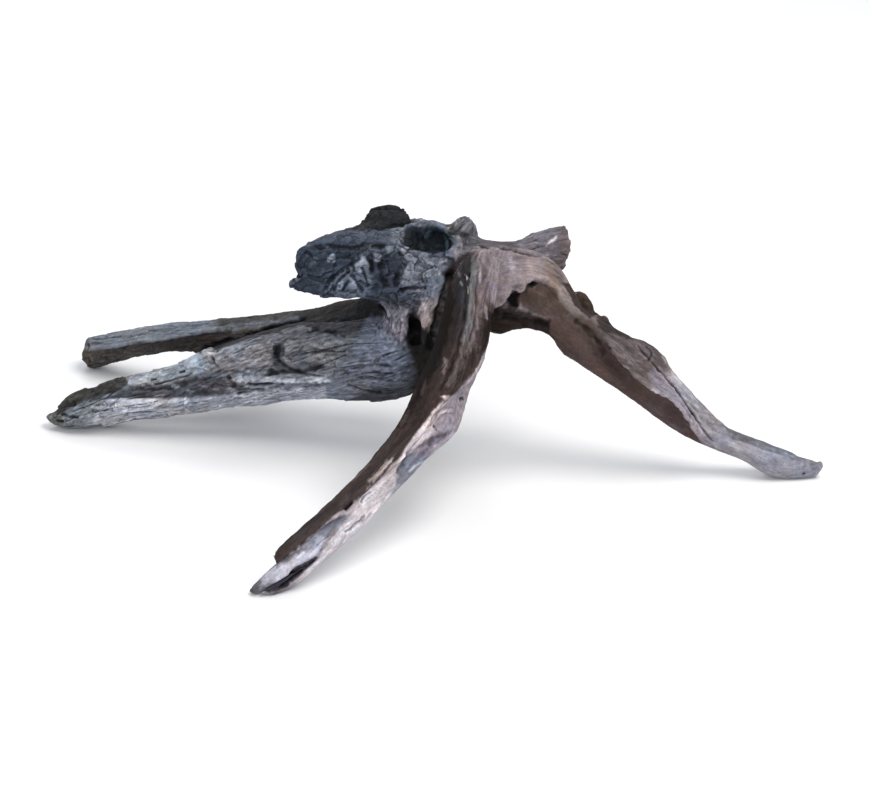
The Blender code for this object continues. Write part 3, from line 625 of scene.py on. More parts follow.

# What the eye follows on the wood: kind, width and depth in mm, how much painted shade darkens a crack or pit (below
# zero, a painted glint), and its line in picture points.
# A lip drops on its left, a pit is a hole, a push swells or presses.
marks = {
    "peeled face": [  # on the front leg: its rim, folds and slit
        ("lip", 7.0, 2.6, 0, [(490, 340), (484, 363), (473, 378), (457, 392), (446, 396), (431, 418),
            (411, 443), (399, 463), (369, 487), (350, 505)]),
        ("lip", 6.0, 2.2, 0, [(346, 512), (330, 521), (312, 535), (294, 550), (278, 563)]),
        ("ridge", 1.6, 0.8, 0, [(450, 398), (440, 409), (434, 421), (417, 437), (407, 452), (400, 466)]),
        ("ridge", 1.4, 0.8, 0, [(456, 411), (445, 412), (438, 420), (434, 428)]),
        ("ridge", 1.7, 0.8, 0, [(456, 431), (443, 441), (431, 449), (422, 459), (410, 470)]),
        ("crack", 3.2, 1.6, 0.25, [(451, 430), (441, 436), (429, 443), (417, 453), (408, 464), (400, 478)]),
        ("crack", 2.0, 3.4, 0.9, [(319, 556), (310, 564), (300, 572.5), (289, 582), (277, 589)]),
        ("push", 4.2, 2.4, 0, [(258, 588), (270, 581), (283, 571), (296, 563), (307, 557), (314, 554)]),
        ("pit", 1.6, 1.6, 0.4, [(268, 593)]),
    ],
    "burnt hollow": [  # ribs on its floor
        ("ridge", 1.7, 1.2, 0, [(422, 227), (420, 236), (425, 247)]),
        ("ridge", 1.5, 1.0, 0, [(440, 228), (444, 239), (441, 250)]),
        ("crack", 1.4, 0.8, 0.3, [(416, 229), (414, 238), (418, 246)]),
    ],
    "front leg": [  # long furrows and small holes
        ("crack", 2.2, 1.3, 0.3, [(462, 262), (466, 300), (461, 335), (450, 372), (436, 395)]),
        ("crack", 1.6, 1.0, 0.3, [(479, 262), (477, 290), (475, 320), (468, 345)]),
        ("ridge", 1.8, 0.9, 0, [(474, 255), (471, 285), (470, 310), (465, 335), (458, 360), (452, 385)]),
        ("crack", 1.2, 0.8, 0.2, [(384, 461), (376, 472), (366, 482)]),
        ("crack", 1.2, 0.8, 0.35, [(375, 492), (366, 497), (362, 505)]),
        ("crack", 1.6, 0.8, 0.3, [(367, 515), (356, 524), (344, 534)]),
        ("crack", 2.2, 4.5, 0.9, [(352, 501), (349, 506), (345, 511)]),
        ("crack", 1.6, 1.4, 0.9, [(462, 401), (465, 399), (468, 398.5)]),
        ("crack", 1.5, 1.0, 0.9, [(437, 424), (440, 428), (439, 432)]),
        ("pit", 2.0, 1.6, 0.9, [(469, 276)]),
    ],
    "right leg": [  # the peeled lip and the long split
        ("lip", 6.0, -2.6, 0, [(604, 336), (610, 345), (615, 357), (628, 371), (641, 385), (656, 393),
            (673, 403), (684, 418), (699, 439), (711, 450)]),
        ("crack", 1.3, 1.6, 0.9, [(636, 341), (643, 352), (655, 365), (668, 379), (682, 397), (697, 420),
            (714, 444)]),
        ("crack", 1.3, 1.4, 0.9, [(645, 346), (652, 350), (652, 357), (646, 361)]),
        ("ridge", 2.0, 0.5, 0, [(724, 431), (745, 438), (765, 445), (788, 451), (800, 459), (817, 463)]),
        ("crack", 1.6, 0.35, 0.1, [(727, 436), (745, 442), (765, 449), (786, 455), (800, 463)]),
        ("pit", 1.2, 0.8, 0.9, [(804, 474)]),
        ("crack", 2.6, 1.2, 0.2, [(574, 318), (590, 332), (600, 346), (604, 360)]),
    ],
    "arch": [  # the ledge of the upper face with its pits
        ("lip", 7.0, -2.6, 0, [(491, 309), (499, 309), (508, 300), (513, 290), (517, 291), (521, 295),
            (526, 286), (534, 281), (548, 281), (556, 290), (563, 301)]),
        ("pit", 3.0, 2.6, 0.9, [(515, 299), (514, 305)]),
        ("pit", 2.2, 1.8, 0.9, [(533, 286)]),
        ("crack", 4.0, 2.2, 0.5, [(500, 316), (516, 321), (534, 322), (552, 326)]),
        ("push", 3.5, -0.7, 0, [(500, 262), (503, 275), (500, 288)]),
        ("push", 4.0, -0.6, 0, [(518, 258), (522, 270)]),
        ("push", 5.0, 2.4, 0, [(579, 297)]),
        ("push", 3.5, 1.4, 0, [(588, 303)]),
        ("push", 2.4, -1.4, 0, [(596, 315)]),
        ("push", 3.6, 2.0, 0, [(604, 320)]),
        ("crack", 2.0, 1.6, 0.5, [(477, 246), (495, 248), (515, 250), (521, 253), (545, 256)]),
        # A pale scratch on the horn, brightened with a painted glint
        ("crack", 0.9, 0.3, -0.9, [(548, 243), (553, 240), (557, 237)]),
    ],
    "neck": [  # ribs and the dark clefts between them
        ("crack", 4.6, 3.2, 0.9, [(409, 312), (413, 322), (419, 333), (415, 346)]),
        ("crack", 4.2, 5.0, 0.9, [(450, 268), (447, 290), (440, 312), (433, 335), (427, 352)]),
        ("ridge", 2.8, 1.2, 0, [(388, 300), (396, 318), (394, 338)]),
        ("ridge", 3.0, 1.4, 0, [(425, 296), (427, 312), (426, 328)]),
        ("crack", 2.2, 1.6, 0.9, [(378, 303), (384, 313), (390, 322)]),
        ("crack", 2.0, 2.2, 0.9, [(346, 384), (362, 389), (374, 392), (384, 393)]),
        ("crack", 1.6, 0.9, 0.3, [(366, 362), (380, 365), (394, 367)]),
        ("crack", 2.2, 1.0, 0.3, [(340, 370), (356, 376), (372, 378), (392, 380)]),
    ],
    "trunk": [  # knots, chipped layers and cracks
        ("pit", 2.4, 0.9, 0.3, [(278, 352)]),
        ("pit", 2.2, 0.8, 0.3, [(281, 361)]),
        ("crack", 1.5, 0.9, 0.4, [(280, 346), (277, 354), (281, 363), (294, 370), (312, 375), (330, 378)]),
        ("push", 4.2, 1.7, 0, [(291, 348)]),
        ("pit", 1.8, 0.8, 0.3, [(291, 358)]),
        ("push", 7.0, 1.6, 0, [(292, 357)]),
        ("crack", 2.2, 2.2, 0.9, [(264, 373), (284, 372), (304, 370), (326, 365)]),
        ("pit", 2.0, 1.4, 0.5, [(229, 377)]),
        ("pit", 2.6, 1.5, 0.5, [(233, 385)]),
        ("crack", 1.5, 1.2, 0.6, [(233, 388), (240, 391), (250, 389), (262, 391)]),
        ("push", 6.0, 2.8, 0, [(206, 355), (198, 359), (190, 362)]),
    ],
    "rear prong": [  # nicks in its end
        ("crack", 1.4, 0.8, 0.5, [(88, 343), (90, 347), (89, 350)]),
        ("crack", 1.4, 0.7, 0.5, [(88, 357), (90, 360), (90, 364)]),
        ("pit", 1.4, 1.2, 0.7, [(90, 366)]),
    ],
    "left root": [  # splits and layers along the grain
        ("crack", 1.4, 1.8, 0.9, [(243, 383), (256, 384), (270, 384), (286, 384)]),
        ("crack", 1.6, 1.8, 0.9, [(236, 395), (248, 393), (258, 390), (266, 390)]),
        ("crack", 1.3, 1.5, 0.9, [(152, 384), (168, 381), (182, 377), (194, 373)]),
        ("crack", 2.2, 1.2, 0.4, [(126, 387), (145, 388), (165, 388), (190, 383)]),
        ("lip", 4.0, 1.4, 0, [(88, 401), (112, 399), (150, 399), (200, 397), (236, 397)]),
        ("crack", 1.3, 1.2, 0.9, [(90, 410), (102, 411), (114, 409)]),
        ("crack", 1.0, 0.8, 0.9, [(92, 405), (106, 405)]),
        ("crack", 1.1, 0.9, 0.9, [(186, 402), (206, 402), (224, 401)]),
        ("crack", 1.1, 0.8, 0.4, [(110, 418), (135, 414), (160, 411)]),
        ("crack", 1.3, 0.9, 0.9, [(178, 372), (182, 370.5), (186, 371)]),
        ("crack", 1.2, 0.8, 0.9, [(150, 380), (154, 378.5), (157, 379)]),
        ("crack", 1.5, 1.3, 0.9, [(212, 355), (214, 363), (220, 368)]),
        ("crack", 1.8, 1.4, 0.6, [(302, 352), (318, 350), (334, 352)]),
        ("crack", 2.4, 1.6, 0.6, [(306, 331), (322, 330), (340, 334)]),
        ("crack", 3.0, 1.6, 0.7, [(300, 322), (320, 321), (345, 319), (366, 317)]),
        ("ridge", 2.2, 1.2, 0, [(326, 342), (334, 347), (340, 350)]),
    ],
    "both prongs": [  # the crease between them and their cracks
        ("crack", 3.0, 3.0, 0.9, [(193, 357), (207, 348), (226, 342), (243, 338)]),
        ("crack", 2.2, 2.2, 0.9, [(243, 336), (262, 331), (284, 324), (308, 318)]),
        ("lip", 5.0, -1.2, 0, [(88, 349), (108, 349), (128, 345), (160, 341), (200, 334), (232, 328)]),
        ("crack", 1.2, 0.9, 0.5, [(90, 338), (106, 339), (124, 336)]),
        ("crack", 1.5, 1.3, 0.9, [(60, 414), (68, 416), (80, 418)]),
        ("crack", 1.6, 1.4, 0.9, [(56, 421), (64, 421)]),
    ],
    "charred stub": [  # crease, flakes and hollow
        ("crack", 2.4, 2.0, 0.5, [(308, 247), (330, 247), (352, 247), (372, 246), (390, 245)]),
        ("crack", 1.8, 1.8, 0.6, [(324, 293), (328, 284), (336, 275), (347, 267), (362, 256)]),
        ("crack", 1.5, 1.6, 0.6, [(333, 294), (336, 285), (342, 277), (349, 272)]),
        ("crack", 1.5, 1.5, 0.6, [(342, 294), (345, 286), (351, 279)]),
        ("crack", 1.7, 1.8, 0.6, [(349, 270), (354, 278), (359, 287), (364, 294)]),
        ("crack", 1.4, 1.4, 0.6, [(361, 266), (365, 275), (368, 285)]),
        ("crack", 2.2, 2.0, 0.5, [(368, 254), (372, 264), (371, 276)]),
        ("crack", 3.4, 2.0, 0.4, [(384, 258), (383, 272), (386, 290)]),
        ("crack", 3.0, 2.0, 0.4, [(398, 250), (404, 262), (400, 276), (394, 290)]),
        ("push", 4.0, 1.0, 0, [(360, 262)]),
        ("push", 3.6, 0.9, 0, [(377, 257)]),
        ("push", 7.0, 1.2, 0, [(412, 272)]),
        ("push", 8.0, -4.6, 0, [(413, 239), (430, 241), (446, 240)]),
        ("push", 2.4, 1.0, 0, [(427, 233)]),
        ("push", 3.0, 1.2, 0, [(454, 225)]),
        ("ridge", 2.2, 1.3, 0, [(404, 223), (418, 221), (432, 224), (446, 229)]),
        ("crack", 2.0, 1.8, 0.6, [(364, 226), (376, 228), (392, 227), (408, 223)]),
        ("crack", 1.8, 1.2, 0.5, [(447, 230), (456, 232), (468, 236)]),
        ("crack", 2.4, 1.6, 0.5, [(398, 291), (412, 288), (428, 288)]),
    ],
}

tree = BVHTree.FromObject(wood, bpy.context.evaluated_depsgraph_get())


def onWood(u, v):
    scale = viewPoint["sensor"] / viewPoint["lens"] / viewPoint["width"]
    ray = Vector(((u - viewPoint["width"] / 2) * scale, (viewPoint["height"] / 2 - v) * scale, -1.0))
    ray.rotate(lookTurn)
    spot, normal, _, _ = tree.ray_cast(eye, ray.normalized())
    return (np.array(spot) * 1000, np.array(normal)) if spot else None


def trace(at, step=2.0):
    # The mark's line on the wood, and the way the surface faces under it
    path = [(u, v, 0) for u, v in at]
    aimed = curveThrough(path, step) if len(at) > 1 else path
    found = [hit for hit in (onWood(u, v) for u, v, _ in aimed) if hit]
    if not found:
        print("no wood under", at[0])
        return None
    line, facing = np.array([f[0] for f in found]), np.array([f[1] for f in found])
    for _ in range(6 if len(line) > 4 else 0):
        for row in (line, facing):
            row[1:-1] = (row[:-2] + 2 * row[1:-1] + row[2:]) / 4
    if len(line) < 3:
        return line, facing
    share = np.arange(0, len(line) - 1, 0.2)
    whole = np.arange(len(line))
    return tuple(np.stack([np.interp(share, whole, row[:, i]) for i in range(3)], 1) for row in (line, facing))


def openToView():
    # 1 where the front view sees the wood, fading round its edges
    toEye = np.array(eye) * 1000 - points
    toEye /= np.linalg.norm(toEye, axis=1, keepdims=True)
    turnedTo = (smoothNormals * toEye).sum(1)
    seen = smoothStep(-0.4, -0.05, turnedTo)
    for i in np.nonzero(turnedTo > -0.25)[0]:
        start = Vector((points[i] + normals[i] * 1.0 + toEye[i] * 1.5) / 1000)
        if tree.ray_cast(start, Vector(toEye[i]))[0] is not None and turnedTo[i] > 0.1:
            seen[i] = 0
    return seen


picture = pictureOf(points)
seen = openToView()
print("seen from the front:", round(float((seen > 0.5).mean()), 2))


def insidePatch(outline, ragged, behind=False):
    # Distance inside the outline, in picture points, with a ragged edge
    corners = np.array(outline, dtype=float)
    low, high = corners.min(0) - 14, corners.max(0) + 14
    shown = smoothNormals[:, 1] < 0.3 if behind else seen > 0
    at = np.nonzero(shown & ((picture > low) & (picture < high)).all(1))[0]
    p = picture[at]
    nearest = np.full(len(at), 1e9)
    odd = np.zeros(len(at), dtype=bool)
    for a, b in zip(corners, np.roll(corners, -1, axis=0)):
        t = np.clip(((p - a) @ (b - a)) / max((b - a) @ (b - a), 1e-9), 0, 1)
        nearest = np.minimum(nearest, np.linalg.norm(p - a - t[:, None] * (b - a), axis=1))
        if a[1] != b[1]:
            crossed = (a[1] > p[:, 1]) != (b[1] > p[:, 1])
            odd ^= crossed & (p[:, 0] < (b[0] - a[0]) * (p[:, 1] - a[1]) / (b[1] - a[1]) + a[0])
    depth = np.where(odd, nearest, -nearest)
    depth += ragged * (0.7 * noise(points[at] / 5.0, 611) + 0.6 * noise(points[at] / 1.9, 612) + 1.2 * streak[at])
    return at, depth


def nearMark(path, reach):
    traced = trace(path)
    if traced is None:
        return None
    line, facing = traced
    low, high = line.min(0) - reach, line.max(0) + reach
    at = np.nonzero(((points > low) & (points < high)).all(1))[0]
    gap = (points[at] ** 2).sum(1)[:, None] - 2 * points[at] @ line.T + (line**2).sum(1)[None, :]
    best = gap.argmin(1)
    d = np.sqrt(np.maximum(gap[np.arange(len(at)), best], 0))
    keep = d < reach
    at, best, d = at[keep], best[keep], d[keep]
    off = points[at] - line[best]
    if len(line) > 1:
        way = np.gradient(line, axis=0)
        way /= np.maximum(np.linalg.norm(way, axis=1, keepdims=True), 1e-6)
    else:
        way = np.zeros_like(line)
    left = np.cross(facing[best], way[best])
    side = (off * left).sum(1)
    share = best / max(len(line) - 1, 1)
    facingToo = smoothStep(-0.3, 0.3, (smoothNormals[at] * facing[best]).sum(1))
    return at, d, side, share, facingToo


def cutMark(kind, wide, deep, tone, path):
    found = nearMark(path, wide * (2.2 if kind == "lip" else 2.6))
    if found is None:
        return
    at, d, side, share, same = found
    ends = smoothStep(0.0, 0.12, share) * smoothStep(1.0, 0.88, share)
    if kind in ("pit", "push"):
        ragged = d / wide * (1 + 0.3 * noise(points[at] / (0.5 * wide + 1), 402))
        hole = smoothStep(1.15, 0.15, ragged) * same
        height[at] += deep * hole if kind == "push" else -deep * hole
        if kind == "pit":
            # A pit's floor takes painted shade
            creaseShade[at] += tone * smoothStep(1.0, 0.35, ragged) * same
    if kind in ("crack", "ridge"):
        wander = 0.45 * wide * noise(points[at] / 6, 403) + 0.3 * noise(points[at] / 2.2, 407)
        d = (0.75 * np.abs(side + wander) + 0.35 * d) / (1 + 0.45 * noise(points[at] / 3.5, 408))
        cut = smoothStep(1.0, 0.1, d / wide) * ends * same * (0.75 + 0.6 * noise(points[at] / 5, 404))
        height[at] += deep * cut if kind == "ridge" else -deep * cut
        if kind == "crack":
            # A crack takes painted shade, or a painted glint where its tone is below zero
            creaseShade[at] += tone * np.clip(cut, 0, 1)
    if kind == "lip":
        side = side + 1.0 * noise(points[at] / 6, 405) + 0.5 * noise(points[at] / 2.2, 406)
        side = side * np.sign(deep)
        drop = smoothStep(-0.6, 0.9, side) * smoothStep(wide * 2.0, wide * 0.3, d)
        rim = np.exp(-((side + 1.2) ** 2) / 2.4) * 0.5
        height[at] += (rim - drop * abs(deep)) * ends * same


# Worn smooth, so with less grain: how much, and the outline
calms = [
    (0.75, [(548, 296), (580, 300), (606, 334), (626, 371), (674, 404), (716, 456), (690, 456), (650, 430),
        (600, 390), (545, 345), (548, 320)]),
    (0.7, [(712, 440), (724, 424), (790, 440), (832, 456), (826, 486), (780, 486), (744, 470)]),
    (0.6, [(440, 400), (478, 372), (482, 384), (472, 442), (420, 490), (340, 566), (290, 610), (240, 602),
        (246, 574), (300, 530), (370, 484)]),
    (0.45, [(476, 250), (546, 250), (560, 284), (534, 282), (496, 310), (488, 272)]),
    (0.4, [(450, 258), (462, 262), (440, 380), (380, 476), (280, 566), (256, 560), (262, 540), (350, 466),
        (388, 420), (424, 345)]),
    (0.6, [(520, 297), (534, 286), (552, 284), (572, 314), (556, 330), (520, 320)]),
]
for much, outline in calms:
    at, depth = insidePatch(outline, 0.5)
    left = 1 - much * smoothStep(-2.0, 3.0, depth) * seen[at]
    for values in (height, streak, creaseShade):
        values[at] *= left
    mottle[at] *= (1 + left) / 2

for rows in marks.values():
    for row in rows:
        cutMark(*row)
print("marks cut:", sum(len(rows) for rows in marks.values()))

# The worn faces under the feet stay flat
clear = smoothStep(0.0, 2.5, points[:, 2])
shaped = points + normals * (height * clear)[:, None]
shaped[:, 2] = np.maximum(shaped[:, 2], 0.0)
wood.data.vertices.foreach_set("co", (shaped / 1000).astype(np.float32).ravel())
wood.data.update()
normals = readPoints(wood.data, "normal").copy()

# Hollows darken with dirt and painted shade, crests turn pale from rubbing and painted highlights
settled = shaped
hollow = np.zeros(count)
for times, much in ((1, 5.0), (4, 1.6), (14, 0.5)):
    settled = spread(settled, times)
    hollow += much * ((settled - shaped) * normals).sum(1)
hollow = np.clip(hollow, -1.2, 1.6)

# Colours of the bare wood, by limb and by which way it faces: faces turned down take the under colour, partly the
# wood's own and partly painted shade
tint = np.zeros((count, 3))
facingUp = smoothStep(-0.55, 0.45, smoothNormals[:, 2] + 0.18 * noise(points / 11, 500))
for k, limb in enumerate(limbs.values()):
    at = np.nonzero(shares[k] > 0)[0]
    a, b = linearColour(limb["under"]), linearColour(limb["top"])
    tint[at] += shares[k][at][:, None] * (a + (b - a) * facingUp[at][:, None])


def layColour(at, colour, cover):
    tint[at] += (linearColour(colour) - tint[at]) * cover[:, None]


# Slow changes along a limb, all the way round it: limb, from and to in mm along it, colour, strength
stains = [
    ("front leg", -20, 88, "#4c403b", 0.65),
    ("front leg", 120, 260, "#a09aa2", 0.5),
    ("right leg", -20, 66, "#4f433e", 0.7),
    ("right leg", 96, 240, "#96939b", 0.6),
    ("rear prong", -20, 55, "#3d3a39", 0.7),
    ("left root", 210, 300, "#4a4743", 0.55),
    ("left root", 60, 120, "#7a7c84", 0.4),
    ("top spur", 20, 80, "#655c5d", 0.5),
]
for name, first, last, colour, much in stains:
    k = limbNumber[name]
    at = np.nonzero(shares[k] > 0)[0]
    run = grains[k][at][:, 0] + 9 * noise(points[at] / 12, 540) + 4 * noise(points[at] / 3.5, 541)
    run = run + 14 * streak[at]
    cover = smoothStep(first - 10, first + 10, run) * smoothStep(last + 10, last - 10, run) * much * shares[k][at]
    layColour(at, colour, cover)

# Stains, rubbed edges, bare faces, painted shade and painted highlights: colour, strength, softness, outline in
# picture points, then the only limbs that take it, and whether it also reaches wood that something hides
patches = {
    "front leg": [  # the dark hollow side, partly dark brown wood and partly painted shade, the pale peeled face and its stains, painted highlights on its rim, and painted shade in its slit
        # This, the #2b2726 and the #2c2829 patches: dark brown wood on the leg's hollow side, deepened with painted
        # shade
        ("#362c29", 0.97, 1, [(430, 258), (455, 258), (462, 300), (455, 335), (470, 348), (487, 342),
            (484, 360), (474, 372), (457, 392), (446, 396), (434, 413), (417, 433), (401, 456), (383, 476),
            (363, 495), (335, 516), (312, 536), (280, 566), (256, 560), (262, 540), (300, 515), (350, 466),
            (388, 420), (408, 380), (424, 345)]),
        ("#2b2726", 0.65, 5, [(350, 462), (362, 478), (330, 506), (296, 536), (276, 562), (262, 556),
            (270, 545), (310, 500)]),
        ("#4f4844", 0.5, 4, [(338, 488), (352, 474), (362, 466), (366, 470), (346, 492), (322, 514),
            (314, 516)]),
        ("#5d5352", 0.8, 3, [(462, 336), (472, 340), (466, 362), (452, 388), (444, 386), (455, 362)]),
        ("#857876", 0.6, 1, [(441, 372), (446, 358), (449, 360), (444, 374)]),
        ("#453c39", 0.6, 5, [(300, 500), (360, 452), (392, 430), (370, 468), (330, 500), (290, 536)]),
        ("#978c87", 0.8, 1, [(387, 459), (390, 461), (381, 473), (370, 483), (367, 481), (377, 471)]),
        ("#2c2829", 0.92, 2, [(452, 262), (466, 252), (476, 252), (472, 290), (468, 322), (460, 345),
            (450, 345), (453, 300)]),
        ("#5e5f60", 0.8, 1, [(472, 254), (477, 256), (475, 290), (472, 325), (464, 348), (461, 345),
            (467, 315), (470, 285)]),
        ("#6b5f62", 0.8, 2, [(478, 258), (490, 262), (495, 305), (494, 330), (488, 344), (478, 350),
            (470, 345), (474, 315)]),
        ("#3b302b", 0.88, 4, [(486, 300), (498, 306), (500, 332), (490, 348), (474, 352), (474, 330)]),
        ("#948b92", 0.92, 1, [(446, 396), (457, 392), (474, 374), (489, 344), (502, 340), (494, 380),
            (480, 412), (472, 442), (452, 460), (425, 482), (398, 512), (360, 548), (325, 580), (285, 604),
            (262, 592), (300, 565), (330, 530), (352, 508), (369, 488), (399, 464), (411, 445), (432, 419)]),
        ("#cfc8cc", 0.9, 2, [(400, 466), (412, 476), (425, 482), (398, 512), (360, 548), (325, 580),
            (290, 604), (282, 596), (312, 566), (330, 542), (345, 522), (354, 506), (369, 491), (384, 478)]),
        # Pale rim along the lip: rubbed wood with a painted highlight on its crest
        ("#aaa0a4", 0.75, 1, [(446, 397), (456, 395), (441, 411), (434, 424), (413, 446), (403, 464),
            (384, 482), (371, 492), (368, 490), (397, 463), (410, 443), (431, 417)]),
        ("#8d848c", 0.7, 3, [(452, 404), (462, 402), (468, 420), (456, 434), (448, 424)]),
        ("#b2abaf", 0.85, 2, [(434, 450), (449, 440), (462, 430), (470, 440), (452, 458), (430, 474),
            (424, 466)]),
        ("#675f6d", 0.85, 2, [(451, 430), (445, 439), (435, 446), (428, 455), (421, 463), (408, 482),
            (396, 488), (402, 474), (413, 461), (424, 449), (438, 437)]),
        # Pale rim along the lip: rubbed wood with a painted highlight on its crest
        ("#c0b6b9", 0.8, 1, [(433, 424), (438, 428), (430, 440), (417, 452), (407, 463), (400, 475),
            (393, 484), (389, 482), (400, 464), (412, 449), (424, 436)]),
        ("#727988", 0.78, 2, [(409, 460), (421, 455), (429, 460), (426, 470), (404, 492), (392, 494),
            (398, 476)]),
        # Pale rim along the lip: rubbed wood with a painted highlight on its crest
        ("#cdc2c5", 0.85, 1, [(434, 409), (435, 412), (427, 427), (416, 442), (407, 454), (402, 465),
            (393, 475), (383, 485), (381, 483), (391, 471), (400, 461), (405, 450), (414, 438), (425, 424)]),
        ("#b4b5bd", 0.8, 1, [(409, 471), (415, 465), (423, 461), (423, 463), (416, 467), (411, 473)]),
        ("#7b7f8c", 0.75, 3, [(320, 530), (336, 518), (347, 514), (346, 521), (334, 532), (318, 546),
            (306, 550)]),
        ("#aeaebb", 0.9, 2, [(277, 565), (300, 547), (318, 534), (328, 538), (318, 552), (300, 568),
            (282, 584), (262, 592), (244, 594), (248, 580), (262, 570)]),
        # Painted shade filling the slit
        ("#26242c", 0.96, 1, [(319, 556), (314, 563), (300, 576), (287, 588), (268, 593), (262, 591),
            (271, 583), (287, 573), (303, 564)], ["front leg"], True),
        ("#3c3d40", 0.85, 2, [(244, 596), (246, 582), (256, 574), (263, 580), (258, 594)]),
        ("#4c4d50", 0.8, 2, [(268, 592), (284, 590), (286, 600), (272, 600)]),
    ],
    "neck": [  # painted shade in the cleft and behind the leg, painted shadow under the stub
        # Painted shade in the cleft between the neck and the front leg
        ("#171413", 0.93, 2, [(405, 318), (409, 307), (415, 308), (422, 326), (431, 334), (440, 306),
            (447, 270), (453, 260), (456, 300), (450, 340), (438, 366), (424, 392), (412, 398), (414, 372),
            (408, 352), (403, 338)], ["neck", "heart", "arch", "stub web", "left root", "back rib"]),
        ("#827e89", 0.85, 3, [(378, 298), (396, 298), (410, 300), (408, 330), (402, 342), (392, 336),
            (384, 322)]),
        ("#9a9194", 0.85, 2, [(416, 298), (443, 286), (439, 308), (430, 332), (423, 324), (417, 310)]),
        # Painted shadow cast by the stub onto the trunk
        ("#1b1a1a", 0.92, 2, [(342, 296), (362, 294), (378, 300), (386, 316), (372, 319), (345, 319),
            (300, 325), (296, 314)]),
        ("#7b808b", 0.85, 3, [(400, 246), (425, 256), (446, 258), (448, 275), (442, 300), (405, 302),
            (398, 280)]),
        ("#5f6063", 0.85, 2, [(444, 228), (448, 217), (460, 212), (474, 218), (478, 234), (490, 242),
            (470, 250), (455, 244)]),
        ("#3c3d40", 0.6, 2, [(446, 222), (452, 219), (456, 228), (450, 232)]),
    ],
    "trunk": [  # blue grey, pale layers and the dark tip; a painted highlight on the root's bulge, painted shade under its right end and in the crease
        ("#6b7180", 0.85, 3, [(356, 320), (372, 315), (396, 336), (408, 348), (418, 364), (418, 384),
            (400, 388), (372, 386), (345, 376), (352, 352)], ["left root"]),
        # Painted highlight on the root's bulge
        ("#868c9a", 0.6, 3, [(376, 328), (390, 334), (400, 348), (396, 356), (380, 345)], ["left root"]),
        # Painted shade on the lower part of the trunk's right end
        ("#303035", 0.8, 6, [(366, 388), (384, 384), (400, 378), (420, 374), (418, 394), (392, 404),
            (352, 404), (344, 396)], ["left root"]),
        # This and the next: painted shadow along the trunk's right end
        ("#3d4048", 0.7, 6, [(398, 340), (412, 350), (420, 372), (416, 394), (396, 398), (404, 372)],
            ["left root"]),
        ("#3a3b42", 0.6, 4, [(396, 366), (418, 366), (418, 380), (400, 382)], ["left root"]),
        # Painted shade in the crease between the rear prong and the trunk
        ("#38373a", 0.8, 3, [(296, 322), (345, 317), (368, 316), (360, 334), (340, 336), (310, 334)]),
        ("#7d7c7e", 0.7, 4, [(302, 338), (336, 340), (350, 350), (340, 364), (310, 366), (300, 356)]),
        ("#7d8290", 0.6, 5, [(300, 384), (345, 380), (366, 388), (350, 400), (318, 404), (290, 402)],
            ["left root"]),
        ("#a4a7b1", 0.9, 2, [(90, 403), (112, 399), (160, 399), (215, 396), (262, 392), (300, 386),
            (326, 386), (330, 404), (290, 408), (220, 415), (160, 424), (118, 432), (84, 436), (88, 420)],
            ["left root"]),
        ("#bdbdc1", 0.65, 2, [(104, 399), (150, 399), (200, 398), (160, 404), (118, 407)], ["left root"]),
        ("#929ba5", 0.8, 1, [(122, 386), (150, 368), (188, 356), (216, 346), (246, 344), (236, 356),
            (222, 364), (192, 375), (150, 385)], ["left root"]),
        ("#b2b5be", 0.75, 1, [(232, 376), (262, 376), (300, 378), (326, 374), (330, 382), (286, 383),
            (243, 383)], ["left root"]),
        ("#414248", 0.85, 2, [(128, 388), (160, 386), (196, 377), (224, 376), (228, 392), (200, 397),
            (150, 398), (104, 398)]),
        ("#565055", 0.6, 4, [(196, 382), (220, 378), (234, 384), (230, 396), (200, 396)]),
        ("#38352f", 0.92, 1, [(46, 414), (56, 402), (66, 388), (84, 380), (122, 372), (129, 384), (116, 392),
            (92, 399), (76, 406), (64, 412), (58, 417)]),
        ("#7b8084", 0.8, 2, [(57, 415), (76, 406), (94, 399), (94, 430), (58, 430)]),
        ("#66645e", 0.75, 2, [(40, 410), (56, 412), (66, 420), (62, 434), (44, 426)]),
        ("#38322f", 0.7, 2, [(226, 374), (234, 378), (246, 388), (240, 394), (230, 386)]),
        ("#353334", 0.75, 2, [(274, 346), (282, 344), (280, 356), (288, 366), (300, 369), (296, 373),
            (276, 371), (272, 358)]),
        ("#5f5e60", 0.6, 2, [(288, 350), (300, 352), (300, 362), (288, 362)]),
        ("#8b898d", 0.75, 4, [(205, 358), (222, 350), (240, 346), (276, 342), (268, 366), (240, 374),
            (206, 374)]),
        ("#88888d", 0.6, 3, [(284, 334), (304, 332), (304, 350), (288, 350)]),
    ],
    "rear prong": [  # pale above; dark below, partly its own colour and partly painted shade, with painted shade in the crease
        ("#727880", 0.85, 1, [(78, 340), (92, 328), (120, 322), (160, 314), (200, 311), (230, 309),
            (236, 327), (200, 333), (160, 340), (120, 346), (95, 351), (80, 350)], ["rear prong"]),
        ("#3c3936", 0.88, 7, [(215, 311), (260, 304), (310, 298), (345, 290), (364, 294), (346, 314),
            (300, 320), (250, 326), (215, 331)]),
        # Darker lower face: partly its own colour, partly painted shade
        ("#474341", 0.9, 1, [(78, 352), (120, 347), (160, 341), (200, 334), (234, 329), (225, 342),
            (200, 354), (150, 362), (110, 374), (84, 376)]),
        # Painted shade in the crease between the prongs
        ("#312b28", 0.7, 6, [(160, 343), (205, 335), (232, 330), (220, 346), (190, 356), (160, 358)]),
        ("#4b433b", 0.6, 2, [(78, 336), (88, 336), (89, 352), (94, 368), (84, 372), (78, 356)]),
        # Painted shade along the crease line
        ("#2b2826", 0.85, 1, [(190, 358), (206, 343), (240, 332), (300, 319), (300, 326), (244, 341),
            (204, 358)]),
